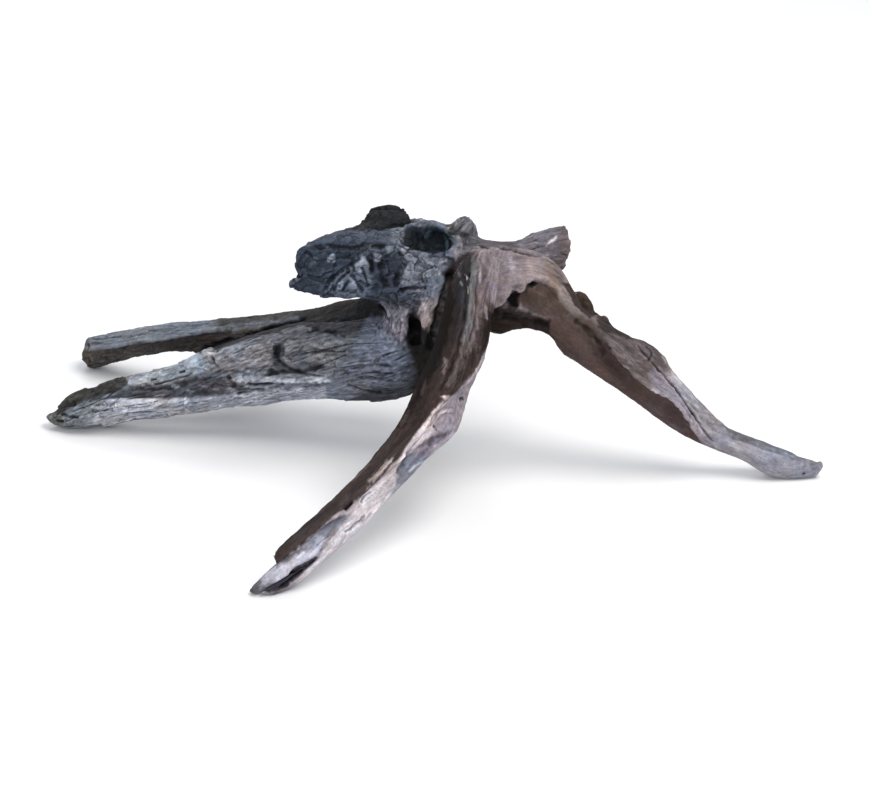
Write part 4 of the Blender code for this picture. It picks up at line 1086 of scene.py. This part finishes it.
        ("#534d47", 0.7, 1, [(212, 339), (244, 329), (272, 325), (262, 331), (226, 341)]),
    ],
    "arch": [  # the pale upper face, its pits dark with painted shade, the brown hollow, partly painted shade, and painted shade under the arch
        ("#847a7d", 0.88, 1, [(476, 250), (500, 244), (520, 248), (546, 252), (558, 264), (560, 284),
            (548, 281), (534, 280), (522, 294), (514, 288), (506, 302), (496, 310), (491, 300), (488, 272)]),
        # Painted shade in the pit
        ("#2e2427", 0.9, 1, [(507, 303), (512, 290), (517, 290), (521, 298), (520, 308), (508, 310)]),
        # Brown hollow: the wood's own brown, deepened with painted shade
        ("#473932", 0.9, 2, [(520, 297), (527, 286), (534, 288), (548, 281), (558, 296), (572, 314),
            (556, 320), (534, 314), (520, 307)]),
        # Painted shade in the pit
        ("#241c19", 0.9, 1, [(525, 283), (541, 284), (533, 290)]),
        # Painted shade under the arch
        ("#201815", 0.95, 3, [(486, 312), (508, 309), (522, 307), (540, 316), (560, 322), (566, 350),
            (530, 340), (500, 344), (480, 352)]),
        ("#7b7069", 0.75, 2, [(544, 256), (554, 262), (562, 284), (576, 308), (588, 322), (576, 318),
            (560, 302), (550, 284)]),
        ("#4f4a4e", 0.85, 2, [(474, 244), (486, 236), (500, 240), (520, 238), (530, 232), (524, 248),
            (517, 250), (500, 247), (480, 248)]),
        ("#6d6a71", 0.85, 2, [(514, 244), (536, 224), (558, 218), (563, 222), (562, 248), (556, 264),
            (545, 256), (521, 251)]),
        ("#665b5c", 0.75, 2, [(560, 220), (574, 220), (574, 266), (560, 288), (553, 266), (560, 248)]),
        # The pale scratch on the horn with its painted glint
        ("#c2bfc0", 0.95, 1, [(546, 246), (550, 240), (557, 236), (556, 239), (550, 244)]),
    ],
    "right leg": [  # brown below the lip, partly its own colour and partly painted shade on the underside; lilac along the split
        # This and the next: brown wood under the lip, deepened with painted shade
        ("#4b3d3a", 0.95, 2, [(548, 318), (570, 314), (600, 334), (612, 352), (626, 371), (642, 387),
            (658, 395), (674, 404), (686, 420), (714, 454), (690, 454), (650, 430), (600, 390), (552, 352)]),
        ("#433832", 0.85, 4, [(566, 312), (590, 318), (606, 332), (608, 350), (596, 350), (578, 330)]),
        ("#5e5352", 0.82, 2, [(604, 326), (626, 334), (638, 346), (655, 366), (650, 388), (641, 385),
            (626, 370), (613, 354)]),
        ("#8b848e", 0.85, 2, [(648, 372), (660, 366), (680, 392), (700, 420), (714, 446), (712, 456),
            (698, 438), (684, 418), (673, 403), (656, 394)]),
        ("#77727f", 0.6, 3, [(648, 370), (658, 368), (664, 380), (652, 384)]),
        ("#4b4243", 0.9, 3, [(634, 330), (660, 338), (676, 352), (684, 374), (668, 376), (646, 354)]),
        ("#928f95", 0.85, 4, [(670, 366), (690, 366), (716, 404), (730, 428), (714, 444), (694, 412),
            (668, 378)]),
        ("#908f99", 0.85, 2, [(712, 442), (724, 424), (760, 434), (790, 444), (832, 460), (822, 484),
            (780, 486), (744, 466), (712, 456)]),
        ("#57575b", 0.88, 2, [(722, 424), (760, 436), (788, 444), (802, 453), (824, 460), (800, 461),
            (786, 453), (760, 446), (728, 434)]),
    ],
    "over the rest": [  # laid last; two of them are painted shade in the gap between the neck and the front leg
        # Painted shade in the gap between the neck and the front leg, also on wood that is hidden
        ("#1a1817", 0.95, 4, [(408, 344), (430, 345), (446, 300), (462, 310), (452, 360), (434, 404),
            (412, 400), (410, 388), (415, 374), (412, 360)], ["left root", "neck", "heart"], True),
        ("#67676b", 0.75, 4, [(800, 450), (826, 452), (828, 470), (814, 472), (806, 462)]),
        # Painted shade in the gap between the neck and the front leg
        ("#181413", 0.95, 3, [(426, 340), (432, 318), (440, 296), (450, 280), (456, 300), (449, 340),
            (438, 368), (424, 396), (404, 428), (392, 430), (412, 398), (420, 372), (428, 340)],
            ["front leg", "arch", "heart", "neck", "back rib"]),
        ("#74727e", 0.5, 4, [(773, 458), (782, 460), (780, 471), (772, 468)]),
        ("#352a25", 0.95, 1, [(562, 282), (578, 284), (594, 292), (600, 314), (590, 318), (574, 306)]),
        ("#2f2926", 0.92, 2, [(596, 312), (608, 310), (622, 330), (640, 336), (638, 341), (606, 334),
            (598, 328)]),
    ],
}


def layPatch(colour, much, soft, outline, only=None, behind=False):
    at, depth = insidePatch(outline, 0.8 + 0.55 * soft, behind)
    if only:
        mine = np.isin(owner[at], [limbNumber[name] for name in only])
        at, depth = at[mine], depth[mine]
    cover = smoothStep(-0.9 * soft, 1.3 * soft, depth) * much * (1 if behind else seen[at])
    layColour(at, colour, cover)


for rows in patches.values():
    for row in rows:
        layPatch(*row)
print("patches laid:", sum(len(rows) for rows in patches.values()))

# Char over everything that burnt, paler on upward faces as painted light
charDark, charPale = linearColour("#2a303a"), linearColour("#565e6b")
charTone = 0.42 + 0.25 * noise(points / 9, 511) + 0.7 * charBlotch + 0.2 * noise(points / 2, 512)
# Painted light: upward char faces turn paler
charTone = np.clip(charTone + 0.35 * (facingUp - 0.5), 0, 1)
charTint = charDark + (charPale - charDark) * charTone[:, None]
tint += (charTint - tint) * (burnt * 0.92)[:, None]
# Char faces and flakes; the small pale spots are painted highlights and the hollow is partly painted shade
charPatches = [
    ("#373d49", 0.85, 1, [(300, 240), (320, 228), (345, 222), (386, 220), (394, 238), (386, 244), (345, 246),
        (312, 247)]),
    ("#5f656f", 0.8, 1, [(392, 226), (404, 222), (404, 238), (396, 247), (390, 238)]),
    ("#222a36", 0.85, 1, [(290, 254), (302, 248), (370, 248), (352, 263), (334, 274), (322, 294), (284, 292),
        (303, 276), (292, 268)]),
    # This and the next: painted highlights on the front face
    ("#7f8b97", 0.75, 1, [(326, 255), (334, 254), (335, 262), (328, 263)]),
    ("#4c5864", 0.6, 1, [(310, 258), (318, 258), (318, 264), (311, 265)]),
    ("#3f4753", 0.5, 2, [(322, 270), (340, 266), (336, 280), (326, 290), (318, 290)]),
    ("#4b5361", 0.8, 1, [(352, 263), (362, 254), (368, 260), (372, 270), (366, 285), (370, 298), (340, 298),
        (324, 292), (332, 278)]),
    # This and the next two: painted highlights on the flakes
    ("#858c9a", 0.8, 1, [(355, 258), (364, 256), (369, 266), (360, 272), (354, 268)]),
    ("#7c8391", 0.7, 1, [(348, 276), (354, 277), (358, 290), (350, 290)]),
    ("#7a8290", 0.6, 1, [(338, 280), (343, 276), (343, 288), (337, 290)]),
    ("#242a36", 0.88, 3, [(369, 252), (396, 250), (406, 262), (400, 278), (396, 294), (372, 296), (370, 276)]),
    # This and the next: painted highlights in the dark band
    ("#747b88", 0.75, 1, [(374, 253), (381, 255), (380, 262), (374, 261)]),
    ("#8b919d", 0.75, 1, [(386, 247), (396, 244), (395, 250), (388, 254)]),
    ("#6c727e", 0.8, 4, [(400, 248), (414, 250), (436, 258), (448, 258), (444, 290), (408, 296), (400, 276),
        (406, 262)]),
    ("#6f7581", 0.6, 2, [(408, 262), (420, 268), (418, 278), (406, 276)]),
    ("#3a414e", 0.7, 2, [(376, 290), (398, 287), (412, 283), (418, 287), (410, 296), (390, 298)]),
    # The burnt hollow: dark char with painted shade
    ("#171e25", 0.97, 1, [(404, 230), (414, 225), (436, 226), (454, 232), (457, 242), (446, 252), (428, 254),
        (414, 249), (405, 240)]),
    # Painted highlight in the hollow
    ("#3c5157", 0.6, 1, [(423, 231), (431, 230), (432, 236), (425, 238)]),
    ("#27343b", 0.6, 1, [(440, 238), (446, 238), (446, 245), (440, 246)]),
    ("#5c6068", 0.8, 1, [(402, 221), (418, 216), (436, 220), (450, 228), (436, 227), (414, 226)]),
    ("#14171a", 0.97, 1, [(352, 230), (358, 206), (376, 198), (394, 198), (408, 203), (416, 218), (410, 225),
        (388, 228), (366, 229)]),
    ("#23231f", 0.7, 2, [(364, 220), (370, 212), (384, 210), (382, 222), (368, 226)]),
]
for patch in charPatches:
    layPatch(*patch)

# Chips and specks that catch the eye, a few of them painted highlights: middle, half length, half width in picture
# points, colour
specks = [
    ((211, 355), (6, -2), 4, "#a6a8ae"), ((196, 369), (6, -1), 3, "#a0a8b4"),
    ((176, 386), (5, 0), 1.6, "#8f959f"), ((237, 380), (6, 1), 2, "#c0c2c8"),
    ((252, 347), (8, -2), 2.4, "#a5a5ab"), ((272, 340), (4, -3), 3, "#9c9ca2"),
    ((288, 342), (4, 1), 4, "#a9a9ae"), ((256, 394), (6, 0), 2, "#b4b6be"),
    ((134, 384), (6, -1), 1.8, "#a3a9b2"), ((222, 366), (4, -2), 2, "#8e8b90"),
    ((245, 362), (5, -2), 1.8, "#9b979c"), ((262, 356), (4, -3), 1.6, "#a09da3"),
    ((228, 354), (4, -1), 1.6, "#96969c"), ((312, 344), (6, 2), 1.8, "#97959a"),
    ((322, 356), (7, 1), 1.6, "#8a898d"), ((306, 328), (6, 1), 1.6, "#88868a"),
    ((212, 363), (2, 2), 1.4, "#3a3a40"), ((170, 389), (6, 2), 2, "#34363c"),
    ((148, 385), (4, 1), 1.4, "#3c3f46"), ((181, 372), (4, -1), 1.2, "#3b3f47"),
    ((112, 411), (3, 1), 1.6, "#4a4d53"), ((106, 403), (2, 2), 1.2, "#55575c"),
    ((243, 393), (5, -2), 1.8, "#3a3938"), ((280, 332), (3, 2), 1.8, "#3a3939"),
    ((204, 386), (5, 1), 1.4, "#7d7f86"), ((189, 391), (4, 0), 1.2, "#83858b"),
    ((160, 395), (6, 0), 1.2, "#7b7e85"), ((216, 390), (4, 1), 1.2, "#726a70"),
    ((347, 341), (3, 4), 2.2, "#77767a"), ((343, 336), (3, 2), 1.4, "#2e2d2e"),
    ((381, 345), (8, 5), 1.6, "#858b99"), ((372, 358), (7, 2), 1.4, "#7c8290"),
    ((394, 326), (2, 6), 1.8, "#9c98a0"), ((402, 312), (2, 5), 1.6, "#948f96"),
    ((389, 314), (2, 4), 1.6, "#a09ca4"), ((404, 328), (1.5, 4), 1.2, "#a39ea3"),
    ((405, 249), (5, -3), 2, "#8d929e"), ((430, 264), (4, 2), 1.6, "#9b9ea7"),
    ((422, 274), (3, 4), 1.8, "#8a8f9a"), ((438, 272), (2, 5), 1.4, "#a5a1a8"),
    ((412, 268), (4, 3), 1.8, "#565c68"), ((424, 284), (4, 2), 1.4, "#5b616d"),
    ((431, 277), (4, 3), 2, "#8b8f99"), ((404, 262), (3, 5), 2, "#4a505c"),
    ((435, 287), (4, -3), 1.4, "#9b959c"), ((418, 291), (3, -2), 1.6, "#8e8b93"),
    ((424, 303), (2, 5), 1.8, "#b0a6a9"), ((435, 300), (2, 6), 1.4, "#a49a9d"),
    ((429, 318), (1.5, 5), 1.2, "#b3a9ab"), ((443, 262), (5, -3), 1.6, "#8f8a90"),
    # The first speck here, at (466, 277), is a painted highlight
    ((466, 277), (1, 3), 1.2, "#c4c2c2"), ((462, 284), (1.4, 3), 1.2, "#8e8d8e"),
    ((468, 290), (1, 4), 1.2, "#a2a0a0"), ((459, 274), (1.5, 4), 1.6, "#5d5759"),
    ((463, 300), (2, 12), 2.4, "#34383f"), ((480, 272), (1.6, 14), 1.8, "#8f8d90"),
    ((486, 312), (1.4, 9), 1.6, "#84787a"), ((476, 318), (1.6, 12), 1.6, "#857c7c"),
    ((497, 262), (2, 8), 2, "#928789"), ((512, 266), (2, 9), 2.2, "#9c9092"),
    ((505, 282), (2, 8), 2, "#857a80"), ((530, 266), (3, 8), 2, "#948889"), ((496, 290), (3, 6), 3, "#81758a"),
    ((521, 274), (2, 6), 2, "#988d8f"), ((538, 262), (4, 4), 2, "#8f8385"),
    ((470, 345), (2, 9), 1.6, "#6f6563"), ((461, 352), (1.6, 9), 1.4, "#6a605f"),
    ((445, 362), (2, 6), 1.4, "#7a6f6d"), ((380, 474), (8, -9), 1.4, "#a5999a"),
    ((388, 464), (5, -7), 1.2, "#b5abac"), ((369, 488), (3, -4), 2, "#8b7d7a"),
    ((356, 503), (4, -3), 1.6, "#94888a"), ((392, 484), (5, -5), 2.2, "#a99ea4"),
    ((366, 519), (5, -5), 1.6, "#8d8890"), ((327, 527), (6, -4), 2.4, "#6e7280"),
    ((314, 541), (5, -4), 2.2, "#898c98"), ((300, 556), (5, -4), 1.8, "#c0c0cb"),
    ((284, 569), (6, -4), 2.2, "#b5b5c2"), ((256, 583), (4, -6), 3, "#5a5b5e"),
    ((251, 589), (3, -2), 2.6, "#4a4b4d"), ((279, 595), (6, 0), 2.6, "#5e5e61"),
    ((262, 577), (4, -3), 1.6, "#86868f"), ((620, 345), (5, 5), 3, "#6f6463"),
    ((632, 362), (6, 6), 3, "#746a6b"), ((651, 352), (6, 5), 3, "#62585a"),
    ((612, 356), (3, 5), 1.4, "#94888a"), ((625, 366), (4, 3), 1.4, "#978c8f"),
    ((666, 360), (5, 7), 2.4, "#8d8888"), ((676, 376), (6, 8), 2, "#a3a1a4"),
    ((700, 410), (7, 9), 2.2, "#a09ea5"), ((660, 384), (6, 4), 2.4, "#8a8192"),
    ((655, 391), (6, 3), 1.6, "#a8a1a6"), ((735, 446), (8, 3), 3, "#a3a2ab"),
    # The speck at (448, 396) and the three after it are painted highlights along the lip
    ((760, 458), (9, 4), 3, "#a2a2ac"), ((448, 396), (7, -1), 1.5, "#c6bbbd"),
    ((439, 407), (6, -6), 1.5, "#c1b6b9"), ((444, 413), (7, -1), 1.3, "#bdb2b6"),
    ((434, 420), (3, -6), 1.4, "#bdb2b6"), ((452, 420), (4, 5), 2.4, "#877d86"),
    ((442, 424), (5, -3), 2, "#897f88"), ((462, 412), (3, 7), 1.6, "#a9a1a6"),
    ((470, 392), (2, 8), 1.6, "#aaa2a5"), ((478, 376), (2, 7), 1.4, "#b0a7a9"),
    ((362, 470), (7, -8), 2, "#5c5350"), ((404, 420), (5, -9), 2.4, "#4e4543"),
    ((424, 388), (3, -9), 2.4, "#4a403d"), ((344, 500), (6, -6), 2, "#544b48"),
    ((300, 534), (7, -6), 2, "#3a3534"), ((560, 338), (8, 5), 2.4, "#54463f"),
    ((585, 355), (9, 7), 2.4, "#4c403c"), ((620, 384), (9, 7), 2.4, "#4a3f3c"),
    ((652, 408), (8, 6), 2, "#50464a"), ((676, 428), (8, 5), 1.8, "#5d5357"),
    ((568, 318), (6, 5), 2.4, "#5f5048"), ((97, 343), (4, -1), 1.6, "#4a4b4d"),
    ((110, 336), (6, -1), 1.6, "#82878e"), ((140, 328), (9, -2), 1.6, "#7f858c"),
    ((90, 357), (3, 4), 2, "#5f5850"), ((84, 353), (2, 4), 1.6, "#4c453c"), ((125, 352), (9, -2), 2, "#4b4846"),
    ((175, 326), (9, -2), 1.6, "#7b8088"), ((60, 421), (4, 2), 1.6, "#3f3f3c"),
    ((50, 417), (4, 2), 1.6, "#7a7974"), ((75, 421), (7, 0), 1.8, "#7c7f85"), ((97, 406), (6, 0), 2, "#b3b4b8"),
    ((122, 404), (10, 0), 1.8, "#c5c5c8"),
]
for (u, v), (du, dv), wide, colour in specks:
    near = np.abs(picture - (u, v)).max(1) < 1.6 * (abs(du) + abs(dv)) + wide + 2
    at = np.nonzero(near & (seen > 0))[0]
    off = picture[at] - (u, v)
    long = math.hypot(du, dv)
    ahead = (off @ (du, dv)) / long
    beside = (off @ (-dv, du)) / long
    reach = np.hypot(ahead / long, beside / wide) + 0.4 * noise(points[at] / 1.7, 551) + 0.3 * noise(points[at] / 4, 552)
    cover = smoothStep(1.25, 0.55, reach) * 0.75 * seen[at]
    layColour(at, colour, cover)
print("specks:", len(specks))

# Fibres, slow stains, dirt, and painted shade and painted highlights from the skin's hollows and cracks
bright = 1 + 0.5 * streak + mottle * (1 - 0.4 * burnt) + 0.14 * noise(points / 14, 520)
bright = 0.86 * (bright + 0.12 * noise(points / 1.3, 521))
# Painted shade in hollows, partly dirt; painted highlights on crests, partly rubbed wood; both stronger on char
bright *= 1 - (0.5 + 0.2 * burnt) * np.clip(hollow, 0, 1) + (0.35 + 0.45 * burnt) * np.clip(-hollow, 0, 1)
# Painted shade in cracks, pits and char seams, and a painted glint where the amount is below zero
bright *= 1 - 0.82 * np.clip(creaseShade, -0.6, 1)
tint *= np.clip(bright, 0.12, 1.9)[:, None]
warm = 0.07 * noise(points / 18, 530) + 0.05 * noise(points / 4, 531)
tint[:, 0] *= 1 + warm
tint[:, 2] *= 1 - warm
tint = np.clip(tint, 0.004, 0.85)

layer = wood.data.color_attributes.new("tint", "FLOAT_COLOR", "POINT")
layer.data.foreach_set("color", np.concatenate([tint, np.ones((count, 1))], 1).astype(np.float32).ravel())
layer = wood.data.attributes.new("fibre", "FLOAT_VECTOR", "POINT")
layer.data.foreach_set("vector", fibre.ravel())
layer = wood.data.attributes.new("char", "FLOAT", "POINT")
layer.data.foreach_set("value", burnt.astype(np.float32))
print("coloured")


# Part the skin where the solids are parted, and close each end
def closedRims(edges):
    held, rims = set(edges), []
    while held:
        first = held.pop()
        rim, todo = [first], [first]
        while todo:
            for v in todo.pop().verts:
                for e in v.link_edges:
                    if e in held:
                        held.discard(e)
                        rim.append(e)
                        todo.append(e)
        ends = [v for e in rim for v in e.verts]
        if len(ends) == 2 * len(set(ends)):
            rims.append(rim)
    return sorted(rims, key=len)


def partAtForks():
    bm = bmesh.new()
    bm.from_mesh(wood.data)
    for name, (middle, normal, reach) in forks.items():
        at = Vector((middle[0], middle[1] - skin["middle"], middle[2])) / 1000
        way = Vector(normal).normalized()
        near = {
            v for v in bm.verts
            if (v.co - at).length < (reach + 5) / 1000 and abs((v.co - at).dot(way)) < 0.003
        }
        faces = {f for v in near for f in v.link_faces}
        edges = {e for f in faces for e in f.edges}
        verts = {v for f in faces for v in f.verts}
        around = list(verts) + list(edges) + list(faces)
        made = bmesh.ops.bisect_plane(bm, geom=around, dist=1e-7, plane_co=at, plane_no=way)
        rims = closedRims([g for g in made["geom_cut"] if isinstance(g, bmesh.types.BMEdge)])
        print("fork of", name, "rims", [len(r) for r in rims])
        bmesh.ops.split_edges(bm, edges=rims[-1])
        bmesh.ops.edgeloop_fill(bm, edges=[e for e in bm.edges if e.is_boundary])
    bm.to_mesh(wood.data)
    bm.free()


partAtForks()
bpy.ops.object.select_all(action="DESELECT")
bpy.context.view_layer.objects.active = wood
wood.select_set(True)
bpy.ops.mesh.separate(type="LOOSE")
pieces = [o for o in bpy.context.selected_objects if o.type == "MESH"]
print("parted into", len(pieces))


def boxOf(obj):
    co = readPoints(obj.data, "co")
    return np.concatenate([co.min(0), co.max(0)])


def nodeBox(name):
    return np.concatenate([np.array(c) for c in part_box(name)])


byNode = {}
for obj in sorted(pieces, key=lambda o: -len(o.data.vertices)):
    box = boxOf(obj)
    miss = {name: np.abs(box - nodeBox(name)).sum() for name in nodes}
    name = min(miss, key=miss.get)
    print(name, len(obj.data.polygons), "faces, off by", round(float(miss[name]) * 1000, 1), "mm")
    if name in byNode:
        bpy.data.objects.remove(obj)
        continue
    byNode[name] = obj


# Dry wood: the tint, finer fibres along the grain and a dull sheen
finishes = {
    "brown_wood": {"rough": 0.78, "streaks": 0.16, "bump": 0.45, "specular": 0.12},
    "grey_wood": {"rough": 0.82, "streaks": 0.18, "bump": 0.5, "specular": 0.12},
    "charred_wood": {"rough": 0.68, "streaks": 0.1, "bump": 0.6, "specular": 0.2},
}


def woodMaterial(name):
    look = finishes[name]
    material = bpy.data.materials.new(name)
    material.use_nodes = True
    graph = material.node_tree
    graph.nodes.clear()
    add, link = graph.nodes.new, graph.links.new

    def attribute(what, output):
        node = add("ShaderNodeAttribute")
        node.attribute_name = what
        return node.outputs[output]

    def noiseOn(vector, **settings):
        node = add("ShaderNodeTexNoise")
        for socket, value in settings.items():
            node.inputs[socket].default_value = value
        link(vector, node.inputs["Vector"])
        return node.outputs["Fac"]

    def ranged(value, low, high):
        node = add("ShaderNodeMapRange")
        for socket, number in (("From Min", 0.3), ("From Max", 0.7), ("To Min", low), ("To Max", high)):
            node.inputs[socket].default_value = number
        link(value, node.inputs["Value"])
        return node.outputs[0]

    def maths(operation, *terms):
        node = add("ShaderNodeMath")
        node.operation = operation
        for socket, term in zip(node.inputs, terms):
            if isinstance(term, float):
                socket.default_value = term
            else:
                link(term, socket)
        return node.outputs[0]

    shader = add("ShaderNodeBsdfPrincipled")
    link(shader.outputs[0], add("ShaderNodeOutputMaterial").inputs[0])
    stretch = add("ShaderNodeMapping")
    stretch.inputs["Scale"].default_value = (0.11, 1.5, 1.5)
    link(attribute("fibre", "Vector"), stretch.inputs["Vector"])
    fibres = noiseOn(stretch.outputs[0], Scale=1.0, Detail=4.0, Roughness=0.6)
    grit = noiseOn(add("ShaderNodeTexCoord").outputs["Object"], Scale=900.0, Detail=3.0)
    streaks = ranged(fibres, 1 - look["streaks"], 1 + look["streaks"])
    shade = add("ShaderNodeVectorMath")
    shade.operation = "SCALE"
    link(attribute("tint", "Color"), shade.inputs[0])
    link(maths("MULTIPLY", streaks, ranged(grit, 0.86, 1.14)), shade.inputs["Scale"])
    link(shade.outputs[0], shader.inputs["Base Color"])
    link(ranged(grit, look["rough"] - 0.1, min(1.0, look["rough"] + 0.12)), shader.inputs["Roughness"])
    shader.inputs["Specular IOR Level"].default_value = look["specular"]
    bump = add("ShaderNodeBump")
    bump.inputs["Strength"].default_value = look["bump"]
    bump.inputs["Distance"].default_value = 0.0006
    link(maths("MULTIPLY_ADD", grit, 0.35, fibres), bump.inputs["Height"])
    link(bump.outputs[0], shader.inputs["Normal"])
    return material


materials = {name: woodMaterial(name) for name in finishes}
for name, obj in byNode.items():
    obj.name = "wood_" + name
    obj.data.name = "wood_" + name
    obj.data.materials.clear()
    obj.data.materials.append(materials[slots[name]])
    for polygon in obj.data.polygons:
        polygon.use_smooth = True
    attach(obj, "root")
    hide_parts(name)
print("finished pieces:", len(byNode))

# Pale floor and soft studio light
studio = {
    "floor": 6.0,
    "floorColour": (0.9, 0.9, 0.9),
    "sky": (0.93, 0.95, 1.0),
    "skyStrength": 0.55,
    "lamps": [
        ("key", (0.55, -0.25, 1.25), 0.9, 13.0, (1.0, 0.97, 0.94)),
        ("front", (-0.5, -1.5, 0.9), 1.2, 9.0, (0.95, 0.97, 1.0)),
        ("back", (-0.3, 1.2, 1.1), 1.0, 7.0, (0.95, 0.97, 1.0)),
    ],
}

bm = bmesh.new()
bmesh.ops.create_grid(bm, x_segments=1, y_segments=1, size=studio["floor"] / 2)
floorMesh = bpy.data.meshes.new("floor")
bm.to_mesh(floorMesh)
bm.free()
floor = newObject("floor", floorMesh)
paint = bpy.data.materials.new("floor")
paint.use_nodes = True
paint.node_tree.nodes["Principled BSDF"].inputs["Base Color"].default_value = (*studio["floorColour"], 1)
paint.node_tree.nodes["Principled BSDF"].inputs["Roughness"].default_value = 0.9
floor.data.materials.append(paint)

for name, at, size, power, colour in studio["lamps"]:
    lamp = bpy.data.lights.new(name, "AREA")
    lamp.shape = "DISK"
    lamp.size = size
    lamp.energy = power
    lamp.color = colour
    obj = bpy.data.objects.new(name, lamp)
    obj.location = at
    obj.rotation_mode = "QUATERNION"
    obj.rotation_quaternion = (Vector((0, 0, 0.05)) - Vector(at)).to_track_quat("-Z", "Y")
    bpy.context.scene.collection.objects.link(obj)

world = bpy.data.worlds.new("studio")
world.use_nodes = True
world.node_tree.nodes["Background"].inputs[0].default_value = (*studio["sky"], 1)
world.node_tree.nodes["Background"].inputs[1].default_value = studio["skyStrength"]
bpy.context.scene.world = world
bpy.context.scene.view_settings.view_transform = "Standard"

lens = bpy.data.cameras.new("camera")
lens.lens = viewPoint["lens"]
lens.sensor_width = viewPoint["sensor"]
cameraObject = bpy.data.objects.new("camera", lens)
cameraObject.location = eye
cameraObject.rotation_mode = "QUATERNION"
cameraObject.rotation_quaternion = lookTurn
bpy.context.scene.collection.objects.link(cameraObject)
bpy.context.scene.camera = cameraObject

print("scene ready")
